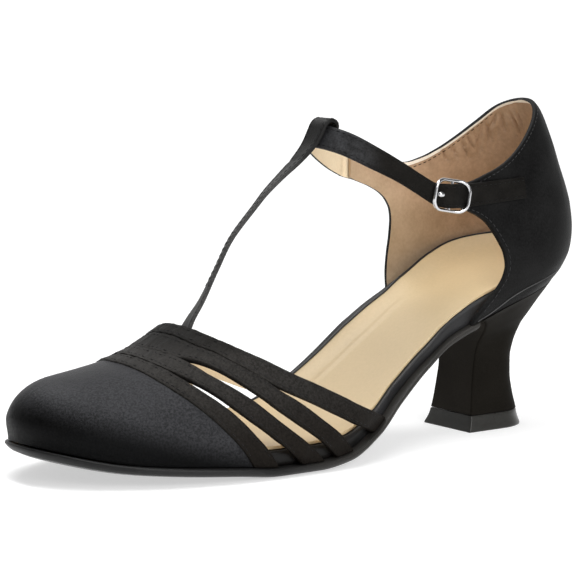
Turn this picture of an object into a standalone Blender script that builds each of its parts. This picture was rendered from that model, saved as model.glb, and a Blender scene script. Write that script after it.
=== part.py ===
"""T-strap dance shoe for the left foot: closed toe with a fan of four straps, heel cup and ankle strap.

The tables and sizes are in millimetres. In them x runs from the back of the heel cup to the toe, y to the
outer side of the foot and z up from the floor. solid() turns them into metres about the model's origin,
which is at the middle of the shoe on the floor.
"""
import math

import bmesh
import bpy
from mathutils import Vector

# Driving sizes
LENGTH = 235.0              # back of the heel cup to the tip of the sole
SEAT_BACK = 8.0             # where the sole starts behind the heel seat
SOLE = 3.6                  # thickness of the outsole
GAP = 0.3                   # between pieces that meet
TOE_ROUND = 77.0            # length over which the sole narrows to the toe
SEAT_ROUND = 30.0           # length over which it narrows to the back
TOE_POWER = 2.13
SEAT_POWER = 2.1
TOE_SWING = 8.0             # the toe leans to the inner side by this much
SWING_START = 150.0

# Sole: place along the foot, height of the underside, half width on the outer and the inner side
SOLE_ROWS = (
    (8, 53.8, 26.0, 26.0),
    (30, 48.8, 26.0, 26.0),
    (50, 42.4, 25.5, 25.4),
    (67, 35.8, 25.0, 25.0),
    (82, 27.5, 27.9, 27.2),
    (97, 17.5, 31.9, 29.2),
    (112, 7.8, 37.9, 31.4),
    (127, 1.6, 41.5, 34.4),
    (140, 0.0, 42.0, 37.0),
    (156, 0.0, 42.0, 39.6),
    (172, 1.5, 42.0, 41.2),
    (190, 2.9, 42.0, 42.0),
    (210, 4.8, 41.5, 42.0),
    (236, 10.3, 41.0, 42.0),
)
# Rings of the outsole's edge from the floor up: how far it stands in, share of the thickness
SOLE_EDGE = ((5.0, 0.0), (2.2, 0.2), (0.8, 0.45), (0.0, 0.75), (0.3, 1.0))
OUTSOLE_BACK = 56.8
SOLE_COLUMNS = (-1.0, -0.5, 0.0, 0.5, 1.0)
STATIONS = 40               # along the outsole, the insole and the sock

# Insole: place, how far its side stands in from the sole's edge below and above, thickness, rise of the
# inner and the outer edge
INSOLE_ROWS = (
    (8, 2.9, -0.6, 7.0, 6.2, 6.2),
    (30, 2.9, -0.4, 7.1, 7.6, 3.0),
    (42, 2.9, 1.2, 7.2, 7.6, 0.4),
    (52, 2.9, 2.6, 7.1, 7.0, 0.0),
    (58, 2.9, 2.9, 7.0, 6.8, 0.0),
    (66, 2.9, 2.9, 6.0, 7.0, 0.0),
    (73, 2.6, 2.6, 5.0, 7.3, 0.0),
    (84, 3.6, 3.6, 4.0, 7.6, 0.0),
    (92, 4.2, 4.2, 3.9, 6.8, 0.0),
    (102, 4.7, 4.7, 4.1, 5.4, 0.0),
    (112, 4.7, 4.7, 4.6, 4.2, 0.0),
    (140, 4.7, 4.7, 5.2, 1.0, 0.0),
    (170, 4.7, 4.7, 5.2, 0.0, 0.0),
    (235, 4.7, 4.7, 5.0, 0.0, 0.0),
)
SEAT_LEAN = 3.0             # the cupped back of the insole leans back by this much
RISE_POWER = 4
INSOLE_EDGE = ((0.5, 0.0), (0.0, 0.25), (0.0, 0.8), (0.7, 1.0))
INSOLE_COLUMNS = (-1.0, -0.93, -0.86, -0.78, -0.65, -0.4, 0.0, 0.6, 0.85, 1.0)
SOCK = 1.0
# Sock: place, how far its edge stands in from the insole's side on the outer and the inner side
SOCK_ROWS = (
    (8, 0.6, 0.6),
    (50, 0.6, 0.8),
    (60, 0.9, 1.8),
    (70, 2.2, 2.6),
    (130, 2.2, 3.0),
    (160, 2.2, 2.2),
    (235, 2.2, 2.2),
)
SOCK_SLANT = 0.3            # its upper edge stands in a little more
SOCK_COLUMNS = (-1.0, -0.92, -0.83, -0.7, -0.4, 0.0, 0.6, 0.85, 1.0)

# Vamp: place and height of its ridge
RIDGE_ROWS = (
    (100, 104.0),
    (120, 90.0),
    (140, 73.0),
    (155, 59.8),
    (166, 52.2),
    (175, 47.0),
    (185, 42.0),
    (195, 39.4),
    (205, 37.6),
    (215, 36.2),
    (225, 35.0),
    (233, 34.4),
)
VAMP_TIP = LENGTH + 1.1     # the toe swells past the sole
VAMP_MARGIN = 0.9           # elsewhere the vamp stands in from the sole's edge
VAMP_TUCK = 1.5             # it draws in at the sole
TUCK_HEIGHT = 9.0
VAMP_POWER = 2.1            # fullness of its cross section
TOE_CURVE = 20.8            # length over which the ridge comes down at the toe
TOE_CURVE_POWER = 2.48
RIDGE_SIDE = -4.5           # the ridge lies on the inner side of the middle
WALL = 1.8                  # of a strap
TOE_STEP = -0.6             # the toe is thinner than the straps
THROAT_STEP = 0.5           # the strap at the throat lies on top of the next one

# Strap edges down the side of the vamp. The first column is 0 on the ridge and 1 at the sole. The others
# are places along the foot: throat, front of strap 1, back and front of straps 2, 3 and 4.
STRAP_ROWS = (
    (0.00, 170.4, 175.4, 175.4, 184.0, 184.0, 190.0, 190.0, 196.4),
    (0.15, 169.6, 175.0, 175.0, 182.7, 182.7, 189.2, 189.2, 195.4),
    (0.25, 168.3, 173.9, 173.9, 180.9, 180.9, 187.9, 187.9, 194.2),
    (0.35, 165.8, 171.2, 171.2, 178.0, 179.2, 185.9, 186.1, 192.6),
    (0.45, 162.1, 168.1, 168.1, 174.1, 176.8, 182.8, 184.4, 190.2),
    (0.55, 156.8, 163.7, 163.7, 169.9, 172.9, 179.3, 181.6, 187.3),
    (0.63, 151.8, 159.2, 159.2, 165.9, 169.0, 176.2, 178.3, 184.7),
    (0.70, 146.2, 154.5, 154.5, 161.7, 165.0, 172.9, 174.9, 182.1),
    (0.78, 137.4, 146.4, 148.5, 156.4, 160.0, 168.2, 170.8, 178.9),
    (0.86, 127.0, 136.1, 140.9, 149.5, 153.7, 161.9, 166.6, 175.2),
    (0.93, 117.4, 125.6, 132.9, 141.5, 146.6, 155.6, 162.1, 171.6),
    (1.00, 107.2, 114.6, 125.3, 133.0, 138.4, 148.4, 157.4, 167.6),
)
# On the inner side the strap edges reach the sole at other places, by this much
INNER_SHIFT = (-4.5, -4.5, 2.5, 2.5, 2.0, 1.5, 1.0, 0.0)
SHIFT_START = 0.6
TOE_STATIONS = 12

# Quarter: share of the height, place of the back, half width, length over which it rounds to the back
QUARTER_ROWS = (
    (0.00, 8.4, 25.6, 30.0),
    (0.06, 4.2, 27.2, 30.0),
    (0.15, 1.2, 28.6, 30.0),
    (0.28, 0.0, 29.3, 30.0),
    (0.40, 0.7, 28.9, 31.0),
    (0.50, 2.4, 28.3, 32.0),
    (0.62, 5.0, 27.6, 34.0),
    (0.74, 7.6, 27.2, 37.0),
    (0.86, 10.6, 27.0, 41.0),
    (0.95, 13.2, 27.0, 44.0),
    (1.00, 15.2, 27.0, 46.0),
)
# Front edge of the quarter: share of the height, place on the outer and the inner side
FRONT_ROWS = (
    (0.00, 60.2, 61.6),
    (0.03, 59.2, 61.5),
    (0.08, 56.8, 61.4),
    (0.15, 52.4, 61.3),
    (0.24, 48.2, 61.1),
    (0.32, 47.1, 60.8),
    (0.40, 47.7, 60.4),
    (0.50, 49.9, 59.8),
    (0.60, 52.7, 59.6),
    (0.68, 55.7, 60.2),
    (0.75, 59.4, 62.2),
    (0.81, 63.8, 65.8),
    (0.85, 68.4, 71.0),
    (0.88, 71.2, 79.0),
    (0.94, 71.2, 79.0),
    (1.00, 71.2, 79.0),
)
# Topline: place, height on the outer and the inner side
TOPLINE_ROWS = (
    (15, 124.4, 124.4),
    (19, 121.8, 121.4),
    (25, 116.6, 115.2),
    (32, 111.0, 109.2),
    (39, 105.9, 104.6),
    (46, 102.0, 101.4),
    (53, 99.3, 99.8),
    (66, 95.8, 100.4),
    (82, 95.8, 104.6),
)
QUARTER_WALL = 1.8
QUARTER_COLUMNS = 14        # on each side
COLUMN_POWER = 1.7          # crowds the columns towards the back

# Heel: share of the height above the lift, place of the front and the back, half width
HEEL_ROWS = (
    (0.00, 50.8, 22.5, 12.6),
    (0.13, 50.0, 24.1, 11.9),
    (0.28, 49.2, 25.1, 11.3),
    (0.42, 48.4, 25.0, 11.0),
    (0.55, 48.1, 23.6, 11.6),
    (0.67, 48.1, 20.6, 13.3),
    (0.78, 48.6, 15.9, 17.0),
    (0.88, 50.4, 11.9, 20.6),
    (0.95, 53.0, 9.4, 23.2),
    (1.00, 56.4, 8.3, 25.4),
)
HEEL_ROUND = 1.1            # roundness of the heel's back, in half widths
LIFT = 6.0                  # height of the top lift
LIFT_FOOT = (53.0, 20.7, 14.3)
LIFT_FLARE = 1.6
HEEL_LEVELS = 12
HEEL_FLANK_POINTS = 3       # on each straight side
HEEL_BACK_POINTS = 8        # on each half of the rounded back

# T-strap: route of its middle from under strap 1 up to the loop and over the ankle strap: place along the
# foot, across it, height, width, and the turn of its face to the inner side in degrees
T_STRAP_ROWS = (
    (177.5, -4.6, 41.9, 8.0, 0.0),
    (173.5, -4.6, 43.9, 8.0, 0.0),
    (168.6, -4.4, 46.4, 7.4, 6.0),
    (165.0, -4.0, 51.8, 6.6, 18.0),
    (160.4, -3.6, 58.2, 6.2, 26.0),
    (154.6, -3.1, 68.6, 6.0, 30.0),
    (148.3, -2.7, 79.2, 6.0, 30.0),
    (138.7, -2.3, 89.6, 6.0, 28.0),
    (133.7, -2.0, 94.8, 6.2, 24.0),
    (127.6, -1.7, 100.0, 6.6, 18.0),
    (121.1, -1.4, 105.2, 7.6, 10.0),
    (116.0, -0.9, 110.5, 8.8, 4.0),
    (113.2, -0.3, 115.4, 9.2, 0.0),
    (111.8, -0.1, 118.2, 9.2, 0.0),
    (109.8, 0.0, 119.7, 9.2, 0.0),
    (107.2, 0.0, 119.2, 9.2, 0.0),
    (106.4, 0.0, 117.4, 9.2, 0.0),
    (107.3, 0.0, 115.0, 9.2, 0.0),
    (109.9, 0.0, 109.6, 9.2, 0.0),
)
T_STRAP = 1.4

# Ankle strap: route of the middle of its inner face, from the inner side through the loop and the buckle
# to its tail: place, across, height, width, lean of its upper edge to the back in degrees
ANKLE_ROWS = (
    (64.0, -27.3, 96.0, 8.6, 0.0),
    (72.0, -27.3, 97.6, 8.8, 0.0),
    (79.5, -27.0, 99.8, 9.0, 0.0),
    (86.0, -25.2, 102.4, 9.0, 2.0),
    (92.5, -22.2, 105.4, 8.8, 6.0),
    (100.2, -17.0, 109.1, 8.6, 13.0),
    (107.0, -9.6, 112.1, 8.6, 21.0),
    (110.6, 0.0, 113.4, 8.6, 25.0),
    (106.8, 9.8, 111.2, 8.6, 21.0),
    (99.4, 17.2, 106.1, 8.5, 12.0),
    (92.0, 21.6, 101.3, 8.4, 6.0),
    (86.0, 23.7, 97.0, 8.0, 2.0),
    (81.2, 25.0, 93.6, 7.5, 0.0),
    (78.4, 26.2, 92.5, 7.4, 0.0),
    (76.2, 27.4, 92.1, 7.4, 0.0),
    (73.9, 28.8, 91.9, 7.4, 0.0),
    (72.2, 28.8, 91.8, 7.4, 0.0),
    (69.2, 28.1, 91.7, 7.4, 0.0),
    (65.2, 27.3, 91.6, 7.5, 0.0),
    (55.0, 27.4, 92.0, 8.0, 0.0),
    (46.0, 27.0, 92.4, 8.0, 0.0),
    (38.5, 26.0, 92.8, 7.8, 0.0),
)
ANKLE = 1.6
ANKLE_COLUMNS = (-0.5, -0.14, 0.14, 0.5)
PRONG_HOLE = 75.2           # place of the hole that the prong comes through
OUTER_SEAT_END = 72.2       # the ankle strap lies on the heel cup up to here
INNER_SEAT_END = 82.0

# Buckle
BUCKLE_PLACE = 73.2
BUCKLE_HEIGHT = 91.9
BUCKLE_RUN = (15.0, -1.6, 1.0)
BUCKLE_HALF_LENGTH = 7.6
BUCKLE_HALF_HEIGHT = 5.5
BUCKLE_CORNER = 2.6
BUCKLE_WIRE = 0.75          # radius
BUCKLE_BAR = 0.6            # radius of the middle bar
BUCKLE_BOW = 1.35           # the end bars stand out over the middle bar
CORNER_POINTS = 4
WIRE_SIDES = 8
PRONG_WIRE = 0.5
PRONG_BALL = 1.1
# Prong: distance in front of the bar, height over the middle of the buckle and radius, to its round tip
PRONG_ROWS = (
    (0.0, -0.2, PRONG_WIRE),
    (0.1, 1.6, PRONG_WIRE),
    (0.5, 2.7, PRONG_WIRE),
    (1.4, 3.0, PRONG_WIRE),
    (2.4, 2.7, PRONG_WIRE),
    (2.9, 2.55, 0.9),
    (3.5, 2.4, PRONG_BALL),
    (4.1, 2.25, 0.9),
    (4.5, 2.15, 0.3),
)


def table(rows, column, at):
    """Read a column of a table at a place with a smooth curve that never overshoots its rows."""
    places = [row[0] for row in rows]
    values = [row[column] for row in rows]
    if at <= places[0]:
        return values[0]
    if at >= places[-1]:
        return values[-1]
    index = max(i for i in range(len(places) - 1) if places[i] <= at)

    def secant(i):
        return (values[i + 1] - values[i]) / (places[i + 1] - places[i])

    def slope(i):
        if i == 0:
            return secant(0)
        if i == len(places) - 1:
            return secant(i - 1)
        before, after = secant(i - 1), secant(i)
        return 2 * before * after / (before + after) if before * after > 0 else 0.0

    span = places[index + 1] - places[index]
    u = (at - places[index]) / span
    return ((2 * u**3 - 3 * u**2 + 1) * values[index]
            + (u**3 - 2 * u**2 + u) * span * slope(index)
            + (3 * u**2 - 2 * u**3) * values[index + 1]
            + (u**3 - u**2) * span * slope(index + 1))


def closure(distance, reach, power):
    """Rounded end: 0 at the tip, 1 from the given reach on."""
    if distance <= 0:
        return 0.0
    if distance >= reach:
        return 1.0
    return (1 - (1 - distance / reach)**power)**(1 / power)


def smooth(u):
    u = min(1.0, max(0.0, u))
    return u * u * (3 - 2 * u)


def underside(x):
    return table(SOLE_ROWS, 1, x)


def feather(x):
    """Height of the outsole's upper face, where the upper meets it."""
    step = 0.5
    slope = (underside(x + step) - underside(x - step)) / (2 * step)
    return underside(x) + SOLE * math.sqrt(1 + slope * slope)


def swing(x):
    """Middle line of the shoe, which leans to the inner side at the toe."""
    return -TOE_SWING * max(0.0, (x - SWING_START) / (LENGTH - SWING_START))**1.5


def sole_edge(x, side, inset, lean=0.0):
    """Outline of the sole, drawn in by inset and lengthened at the back by lean."""
    width = table(SOLE_ROWS, 2 if side > 0 else 3, x) - inset
    toe = closure(LENGTH - inset - x, TOE_ROUND, TOE_POWER)
    seat = closure(x - SEAT_BACK + lean - inset, SEAT_ROUND, SEAT_POWER)
    return swing(x) + side * width * toe * seat


def model_shift():
    """Middle of the shoe's outline, which is put at the model's origin."""
    places = [SEAT_BACK + i for i in range(int(LENGTH - SEAT_BACK))]
    outer = max(sole_edge(x, 1, 0.0) for x in places)
    inner = min(sole_edge(x, -1, 0.0) for x in places)
    return Vector((LENGTH / 2, (outer + inner) / 2, 0.0))


def material(name, color, roughness, metallic=0.0):
    made = bpy.data.materials.new(name)
    made.use_nodes = True
    shader = made.node_tree.nodes["Principled BSDF"]
    shader.inputs["Base Color"].default_value = (*color, 1.0)
    shader.inputs["Roughness"].default_value = roughness
    shader.inputs["Metallic"].default_value = metallic
    return made


def solid(name, points, faces, look):
    """Make one closed object from points in millimetres, merging those that coincide."""
    origin = model_shift()
    mesh = bpy.data.meshes.new(name)
    mesh.from_pydata([(Vector(p) - origin) * 0.001 for p in points], [], faces)
    work = bmesh.new()
    work.from_mesh(mesh)
    bmesh.ops.remove_doubles(work, verts=work.verts, dist=1e-6)
    bmesh.ops.dissolve_degenerate(work, edges=work.edges, dist=1e-6)
    bmesh.ops.triangulate(work, faces=work.faces)
    bmesh.ops.recalc_face_normals(work, faces=work.faces)
    if work.calc_volume(signed=True) < 0:
        bmesh.ops.reverse_faces(work, faces=work.faces)
    work.to_mesh(mesh)
    work.free()
    mesh.shade_smooth()
    mesh.set_sharp_from_angle(angle=math.radians(40))
    made = bpy.data.objects.new(name, mesh)
    made.data.materials.append(look)
    bpy.context.collection.objects.link(made)
    return made


def shell(name, outer, inner, look, holes=()):
    """Close two matching grids of points into one wall, leaving out the cells in holes."""
    rows, columns = len(outer), len(outer[0])
    points = [p for row in outer for p in row] + [p for row in inner for p in row]
    under = rows * columns
    faces = []
    borders = {}
    for i in range(rows - 1):
        for j in range(columns - 1):
            if (i, j) in holes:
                continue
            near, far = i * columns + j, (i + 1) * columns + j
            corners = (near, near + 1, far + 1, far)
            faces.append(corners)
            faces.append(tuple(k + under for k in reversed(corners)))
            for a, b in zip(corners, corners[1:] + corners[:1]):
                key = (min(a, b), max(a, b))
                borders[key] = None if key in borders else (a, b)
    for border in borders.values():
        if border:
            a, b = border
            faces.append((b, a, a + under, b + under))
    return solid(name, points, faces, look)


def slab(name, ends, edge, height, profile, columns, stations, look):
    """Sole-like piece. profile lists its rings from below: inset of the edge, share of the height."""
    points = []
    faces = []
    rings = []
    for inset, share in profile:
        start, stop = ends(inset, share)
        ring = []
        for i in range(stations + 1):
            x = start + (stop - start) * (1 - math.cos(math.pi * i / stations)) / 2
            inner, outer = edge(x, -1, inset, share), edge(x, 1, inset, share)
            row = []
            for across in columns:
                y = inner + (outer - inner) * (across + 1) / 2
                row.append(len(points))
                points.append((x, y, height(x, y, share)))
            ring.append(row)
        rings.append(ring)
    last = len(columns) - 1
    for ring, turn in ((rings[0], True), (rings[-1], False)):
        for i in range(stations):
            for j in range(last):
                face = (ring[i][j], ring[i + 1][j], ring[i + 1][j + 1], ring[i][j + 1])
                faces.append(face[::-1] if turn else face)
    for lower, upper in zip(rings, rings[1:]):
        for i in range(stations):
            for j in (0, last):
                faces.append((lower[i][j], lower[i + 1][j], upper[i + 1][j], upper[i][j]))
        for i in (0, stations):
            for j in range(last):
                faces.append((lower[i][j], lower[i][j + 1], upper[i][j + 1], upper[i][j]))
    return solid(name, points, faces, look)


def outsole(look):
    def ends(inset, share):
        return OUTSOLE_BACK, LENGTH - inset

    def edge(x, side, inset, share):
        return sole_edge(x, side, inset)

    def height(x, y, share):
        return underside(x) + (feather(x) - underside(x)) * share

    return slab("outsole", ends, edge, height, SOLE_EDGE, SOLE_COLUMNS, STATIONS, look)


def insole_inset(x, share):
    return table(INSOLE_ROWS, 1, x) * (1 - share) + table(INSOLE_ROWS, 2, x) * share


def insole_edge(x, side, inset, share):
    return sole_edge(x, side, insole_inset(x, share) + inset, SEAT_LEAN * share)


def insole_ends(inset, share):
    back = SEAT_BACK - SEAT_LEAN * share + insole_inset(SEAT_BACK, share) + inset
    return back, LENGTH - insole_inset(LENGTH, share) - inset


def insole_low(x):
    return feather(x) + GAP


def insole_high(x, y):
    """Height of the insole's upper face, which is cupped in the seat and rises to its inner edge."""
    thick, inner, outer = (table(INSOLE_ROWS, column, x) for column in (3, 4, 5))
    across = (swing(x) - y) / (table(SOLE_ROWS, 3, x) - insole_inset(x, 1))
    across = min(1.0, max(-1.0, across))
    behind = 1 - (x - SEAT_BACK + SEAT_LEAN - insole_inset(x, 1)) / SEAT_ROUND
    behind = min(1.0, max(0.0, behind))
    out = min(1.0, (abs(across)**SEAT_POWER + behind**SEAT_POWER)**(1 / SEAT_POWER))
    rise = outer + (inner - outer) * smooth((1 + across) / 2)
    return insole_low(x) + thick + rise * out**RISE_POWER


def insole(look):
    def height(x, y, share):
        return insole_low(x) + (insole_high(x, y) - insole_low(x)) * share

    return slab("insole", insole_ends, insole_edge, height, INSOLE_EDGE, INSOLE_COLUMNS, STATIONS, look)


def sock(look):
    def ends(inset, share):
        back = insole_ends(SOCK_ROWS[0][1] + inset, 1)[0]
        return back, insole_ends(SOCK_ROWS[-1][1] + inset, 1)[1]

    def edge(x, side, inset, share):
        return insole_edge(x, side, table(SOCK_ROWS, 1 if side > 0 else 2, x) + inset, 1)

    def height(x, y, share):
        return insole_high(x, y) + GAP + SOCK * share

    return slab("sock", ends, edge, height, ((0.0, 0.0), (SOCK_SLANT, 1.0)), SOCK_COLUMNS, STATIONS, look)


def vamp_half(x, side):
    width = table(SOLE_ROWS, 2 if side > 0 else 3, x) - VAMP_MARGIN
    return width * closure(VAMP_TIP - x, TOE_ROUND, TOE_POWER)


def vamp_point(x, around):
    """Point on the outer face of the straps: around is 0 on the ridge, 1 and -1 at the sole."""
    side = 1 if around >= 0 else -1
    angle = abs(around) * math.pi / 2
    low = feather(x) + GAP
    high = low + (table(RIDGE_ROWS, 1, x) - low) * closure(VAMP_TIP - x, TOE_CURVE, TOE_CURVE_POWER)
    top = swing(x) + RIDGE_SIDE * closure(VAMP_TIP - x, TOE_ROUND, TOE_POWER)
    edge = swing(x) + side * vamp_half(x, side)
    across = math.sin(angle)**(2 / VAMP_POWER)
    y = top + (edge - top) * across
    z = low + (high - low) * max(0.0, math.cos(angle))**(2 / VAMP_POWER)
    step = 0.05
    slope = (vamp_half(x + step, side) - vamp_half(x - step, side)) / (2 * step)
    tuck = VAMP_TUCK * smooth(1 - (z - low) / TUCK_HEIGHT) / math.hypot(1, slope)
    return Vector((x + tuck * slope, y - side * tuck * across * closure(VAMP_TIP - x, 3.0, 2.0), z))


def vamp_normal(x, around):
    along = vamp_point(x + 0.2, around) - vamp_point(x - 0.2, around)
    down = vamp_point(x, min(1.0, around + 0.004)) - vamp_point(x, max(-1.0, around - 0.004))
    return along.cross(down).normalized()


def strap_place(column, around):
    shift = INNER_SHIFT[column - 1] * smooth((-around - SHIFT_START) / (1 - SHIFT_START))
    return table(STRAP_ROWS, column, abs(around)) + shift


def vamp_lines(around):
    """Places along the foot and steps of the outer face, from the throat to the toe."""
    throat, front1, back2, front2, back3, front3, back4, front4 = (
        strap_place(column, around) for column in range(1, 9))
    lines = [(throat, THROAT_STEP), ((throat + front1) / 2, THROAT_STEP), (front1, THROAT_STEP)]
    lines += [(place, 0.0) for place in (back2, front2, back3, front3, back4, front4)]
    for i in range(TOE_STATIONS + 1):
        u = i / TOE_STATIONS
        lines.append((front4 + (VAMP_TIP - front4) * (1 - (1 - u)**2), TOE_STEP))
    return lines


def vamp(look):
    half = [row[0] for row in STRAP_ROWS]
    columns = [-a for a in reversed(half[1:])] + half
    grid = [vamp_lines(around) for around in columns]
    outer, inner = [], []
    for i in range(len(grid[0])):
        outer_row, inner_row = [], []
        for around, lines in zip(columns, grid):
            x, step = lines[i]
            point = vamp_point(x, around)
            normal = vamp_normal(x, around) if x < VAMP_TIP else Vector((1.0, 0.0, 0.0))
            outside = point + normal * step
            inside = point - normal * WALL
            if abs(around) == 1.0:
                outside.z = inside.z = point.z
            outer_row.append(outside)
            inner_row.append(inside)
        outer.append(outer_row)
        inner.append(inner_row)
    holes = set()
    for i in (2, 4, 6):
        for j in range(len(columns) - 1):
            if any(grid[k][i + 1][0] - grid[k][i][0] > 0.01 for k in (j, j + 1)):
                holes.add((i, j))
    return shell("vamp", outer, inner, look, holes)


def topline(x, side):
    return table(TOPLINE_ROWS, 1 if side > 0 else 2, x)


def quarter_width(x, share, side):
    """Half width of the heel cup: it follows the sole's outline below and its own table above."""
    back, width, reach = (table(QUARTER_ROWS, column, share) for column in (1, 2, 3))
    follow = table(SOLE_ROWS, 2 if side > 0 else 3, x) / SOLE_ROWS[0][2]
    return width * follow**(1 - share) * closure(x - back, reach, SEAT_POWER)


def quarter_point(around, share):
    """Point on the heel cup: around is 0 at the back, 1 on the outer front edge, -1 on the inner one."""
    side = 1 if around >= 0 else -1
    back = table(QUARTER_ROWS, 1, share)
    front = table(FRONT_ROWS, 1 if side > 0 else 2, share)
    x = back + (front - back) * abs(around)**COLUMN_POWER
    low = feather(x) + GAP
    return Vector((x, side * quarter_width(x, share, side), low + share * (topline(x, side) - low)))


def quarter_normal(around, share):
    along = quarter_point(around + 0.01, share) - quarter_point(around - 0.01, share)
    up = quarter_point(around, min(1.0, share + 0.01)) - quarter_point(around, max(0.0, share - 0.01))
    return up.cross(along).normalized()


def quarter_half(x, z, side):
    """Half width of the heel cup's outer face at a place and height on its side."""
    low = feather(x) + GAP
    share = (z - low) / (topline(x, side) - low)
    return quarter_width(x, min(1.0, max(0.0, share)), side)


def quarter(look):
    columns = [j / QUARTER_COLUMNS for j in range(-QUARTER_COLUMNS, QUARTER_COLUMNS + 1)]
    outer, inner = [], []
    for row in FRONT_ROWS:
        share = row[0]
        outer.append([quarter_point(around, share) for around in columns])
        inside = []
        for around, point in zip(columns, outer[-1]):
            move = quarter_normal(around, share) * -QUARTER_WALL
            inside.append(point + (move if share > 0 else Vector((move.x, move.y, 0.0))))
        inner.append(inside)
    return shell("quarter", outer, inner, look)


def heel_ring(front, back, half, reach, height):
    """One section of the heel: from the outer front corner round the back to the inner one."""
    reach = min(reach, front - back)
    straight = front - back - reach
    side = [(front - straight * k / HEEL_FLANK_POINTS, half) for k in range(HEEL_FLANK_POINTS)]
    for k in range(HEEL_BACK_POINTS + 1):
        turn = math.pi / 2 * k / HEEL_BACK_POINTS
        side.append((back + reach * (1 - math.sin(turn)**(2 / SEAT_POWER)),
                     half * max(0.0, math.cos(turn))**(2 / SEAT_POWER)))
    ring = side + [(x, -y) for x, y in reversed(side[:-1])]
    return [(x, y, height(x)) for x, y in ring]


def loft(name, rings, look):
    points = [p for ring in rings for p in ring]
    size = len(rings[0])
    faces = []
    for level in range(len(rings) - 1):
        base = level * size
        for i in range(size):
            after = (i + 1) % size
            faces.append((base + i, base + after, base + size + after, base + size + i))
    for base in (0, (len(rings) - 1) * size):
        for i in range(size // 2):
            faces.append((base + i, base + i + 1, base + size - 2 - i, base + size - 1 - i))
    return solid(name, points, faces, look)


def heel(look):
    floor = LIFT + GAP
    rings = []
    for level in range(HEEL_LEVELS + 1):
        share = level / HEEL_LEVELS
        front, back, half = (table(HEEL_ROWS, column, share) for column in (1, 2, 3))
        tight = HEEL_ROUND * half
        reach = tight + (SEAT_ROUND - tight) * smooth((share - 0.6) / 0.4)
        rings.append(heel_ring(front, back, half, reach,
                               lambda x, share=share: floor + (feather(x) - floor) * share))
    return loft("heel", rings, look)


def top_lift(look):
    head = HEEL_ROWS[0][1:]
    rings = []
    for share in (0.0, 0.5, 1.0):
        blend = 1 - (1 - share)**LIFT_FLARE
        front, back, half = (foot + (top - foot) * blend for foot, top in zip(LIFT_FOOT, head))
        rings.append(heel_ring(front, back, half, HEEL_ROUND * half, lambda x, share=share: LIFT * share))
    return loft("top_lift", rings, look)


def route(rows, spacing):
    """Values of a smooth curve through the rows, at points about the given spacing apart."""
    first = [2 * a - b for a, b in zip(rows[0], rows[1])]
    last = [2 * a - b for a, b in zip(rows[-1], rows[-2])]
    rows = [first, *rows, last]
    points = []
    for before, start, stop, after in zip(rows, rows[1:], rows[2:], rows[3:]):
        pieces = max(1, round(math.dist(start[:3], stop[:3]) / spacing))
        for k in range(pieces):
            u = k / pieces
            points.append([(2 * b + (c - a) * u + (2 * a - 5 * b + 4 * c - d) * u**2
                            + (3 * b - a - 3 * c + d) * u**3) / 2
                           for a, b, c, d in zip(before, start, stop, after)])
    points.append(list(rows[-2]))
    return points


def t_strap(look):
    rows = route(T_STRAP_ROWS, 4.0)
    outer, inner = [], []
    for i, (x, y, z, width, turn) in enumerate(rows):
        run = Vector(rows[min(len(rows) - 1, i + 1)][:3]) - Vector(rows[max(0, i - 1)][:3])
        run.normalize()
        angle = math.radians(turn)
        across = Vector((math.sin(angle), math.cos(angle), 0.0))
        across = (across - run * across.dot(run)).normalized()
        out = run.cross(across)
        middle = Vector((x, y, z))
        line = [middle + across * (width * share) for share in (-0.5, 0.0, 0.5)]
        outer.append([p + out * (T_STRAP / 2) for p in line])
        inner.append([p - out * (T_STRAP / 2) for p in line])
    return shell("t_strap", outer, inner, look)


def seated(point):
    """Move a point of the ankle strap's inner face out to where it clears the heel cup."""
    side = 1 if point.y > 0 else -1
    if point.x > (OUTER_SEAT_END if side > 0 else INNER_SEAT_END):
        return point
    clear = quarter_half(point.x, point.z, side) + GAP
    return Vector((point.x, side * max(abs(point.y), clear), point.z))


def ankle_strap(look):
    rows = route(ANKLE_ROWS, 4.0)
    outer, inner = [], []
    holes = set()
    for i, (x, y, z, width, lean) in enumerate(rows):
        run = Vector(rows[min(len(rows) - 1, i + 1)][:3]) - Vector(rows[max(0, i - 1)][:3])
        run.normalize()
        flat = Vector((run.y, -run.x, 0.0)).normalized()
        up = run.cross(flat).normalized()
        if up.z < 0:
            up.negate()
        angle = math.radians(lean)
        across = up * math.cos(angle) - flat * math.sin(angle)
        flat = flat * math.cos(angle) + up * math.sin(angle)
        inner.append([seated(Vector((x, y, z)) + across * (width * share)) for share in ANKLE_COLUMNS])
        outer.append([p + flat * ANKLE for p in inner[-1]])
    for i in range(len(rows) - 1):
        if rows[i][1] > 0 and rows[i + 1][0] < PRONG_HOLE < rows[i][0]:
            holes.add((i, len(ANKLE_COLUMNS) // 2 - 1))
    return shell("ankle_strap", outer, inner, look, holes)


def tube(name, points, radii, look, closed=False):
    """Round wire through the points, each with its own radius."""
    count = len(points)
    rings, faces = [], []
    for i, (point, radius) in enumerate(zip(points, radii)):
        before = points[i - 1] if closed or i else point
        after = points[(i + 1) % count] if closed or i < count - 1 else point
        run = (after - before).normalized()
        side = run.cross(Vector((0.0, 1.0, 0.0) if abs(run.y) < 0.8 else (0.0, 0.0, 1.0))).normalized()
        top = run.cross(side)
        for k in range(WIRE_SIDES):
            turn = 2 * math.pi * k / WIRE_SIDES
            rings.append(point + (side * math.cos(turn) + top * math.sin(turn)) * radius)
    for i in range(count if closed else count - 1):
        here, there = i * WIRE_SIDES, (i + 1) % count * WIRE_SIDES
        for k in range(WIRE_SIDES):
            after = (k + 1) % WIRE_SIDES
            faces.append((here + k, here + after, there + after, there + k))
    if not closed:
        faces.append(tuple(range(WIRE_SIDES)))
        faces.append(tuple((count - 1) * WIRE_SIDES + k for k in range(WIRE_SIDES)))
    return solid(name, rings, faces, look)


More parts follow.
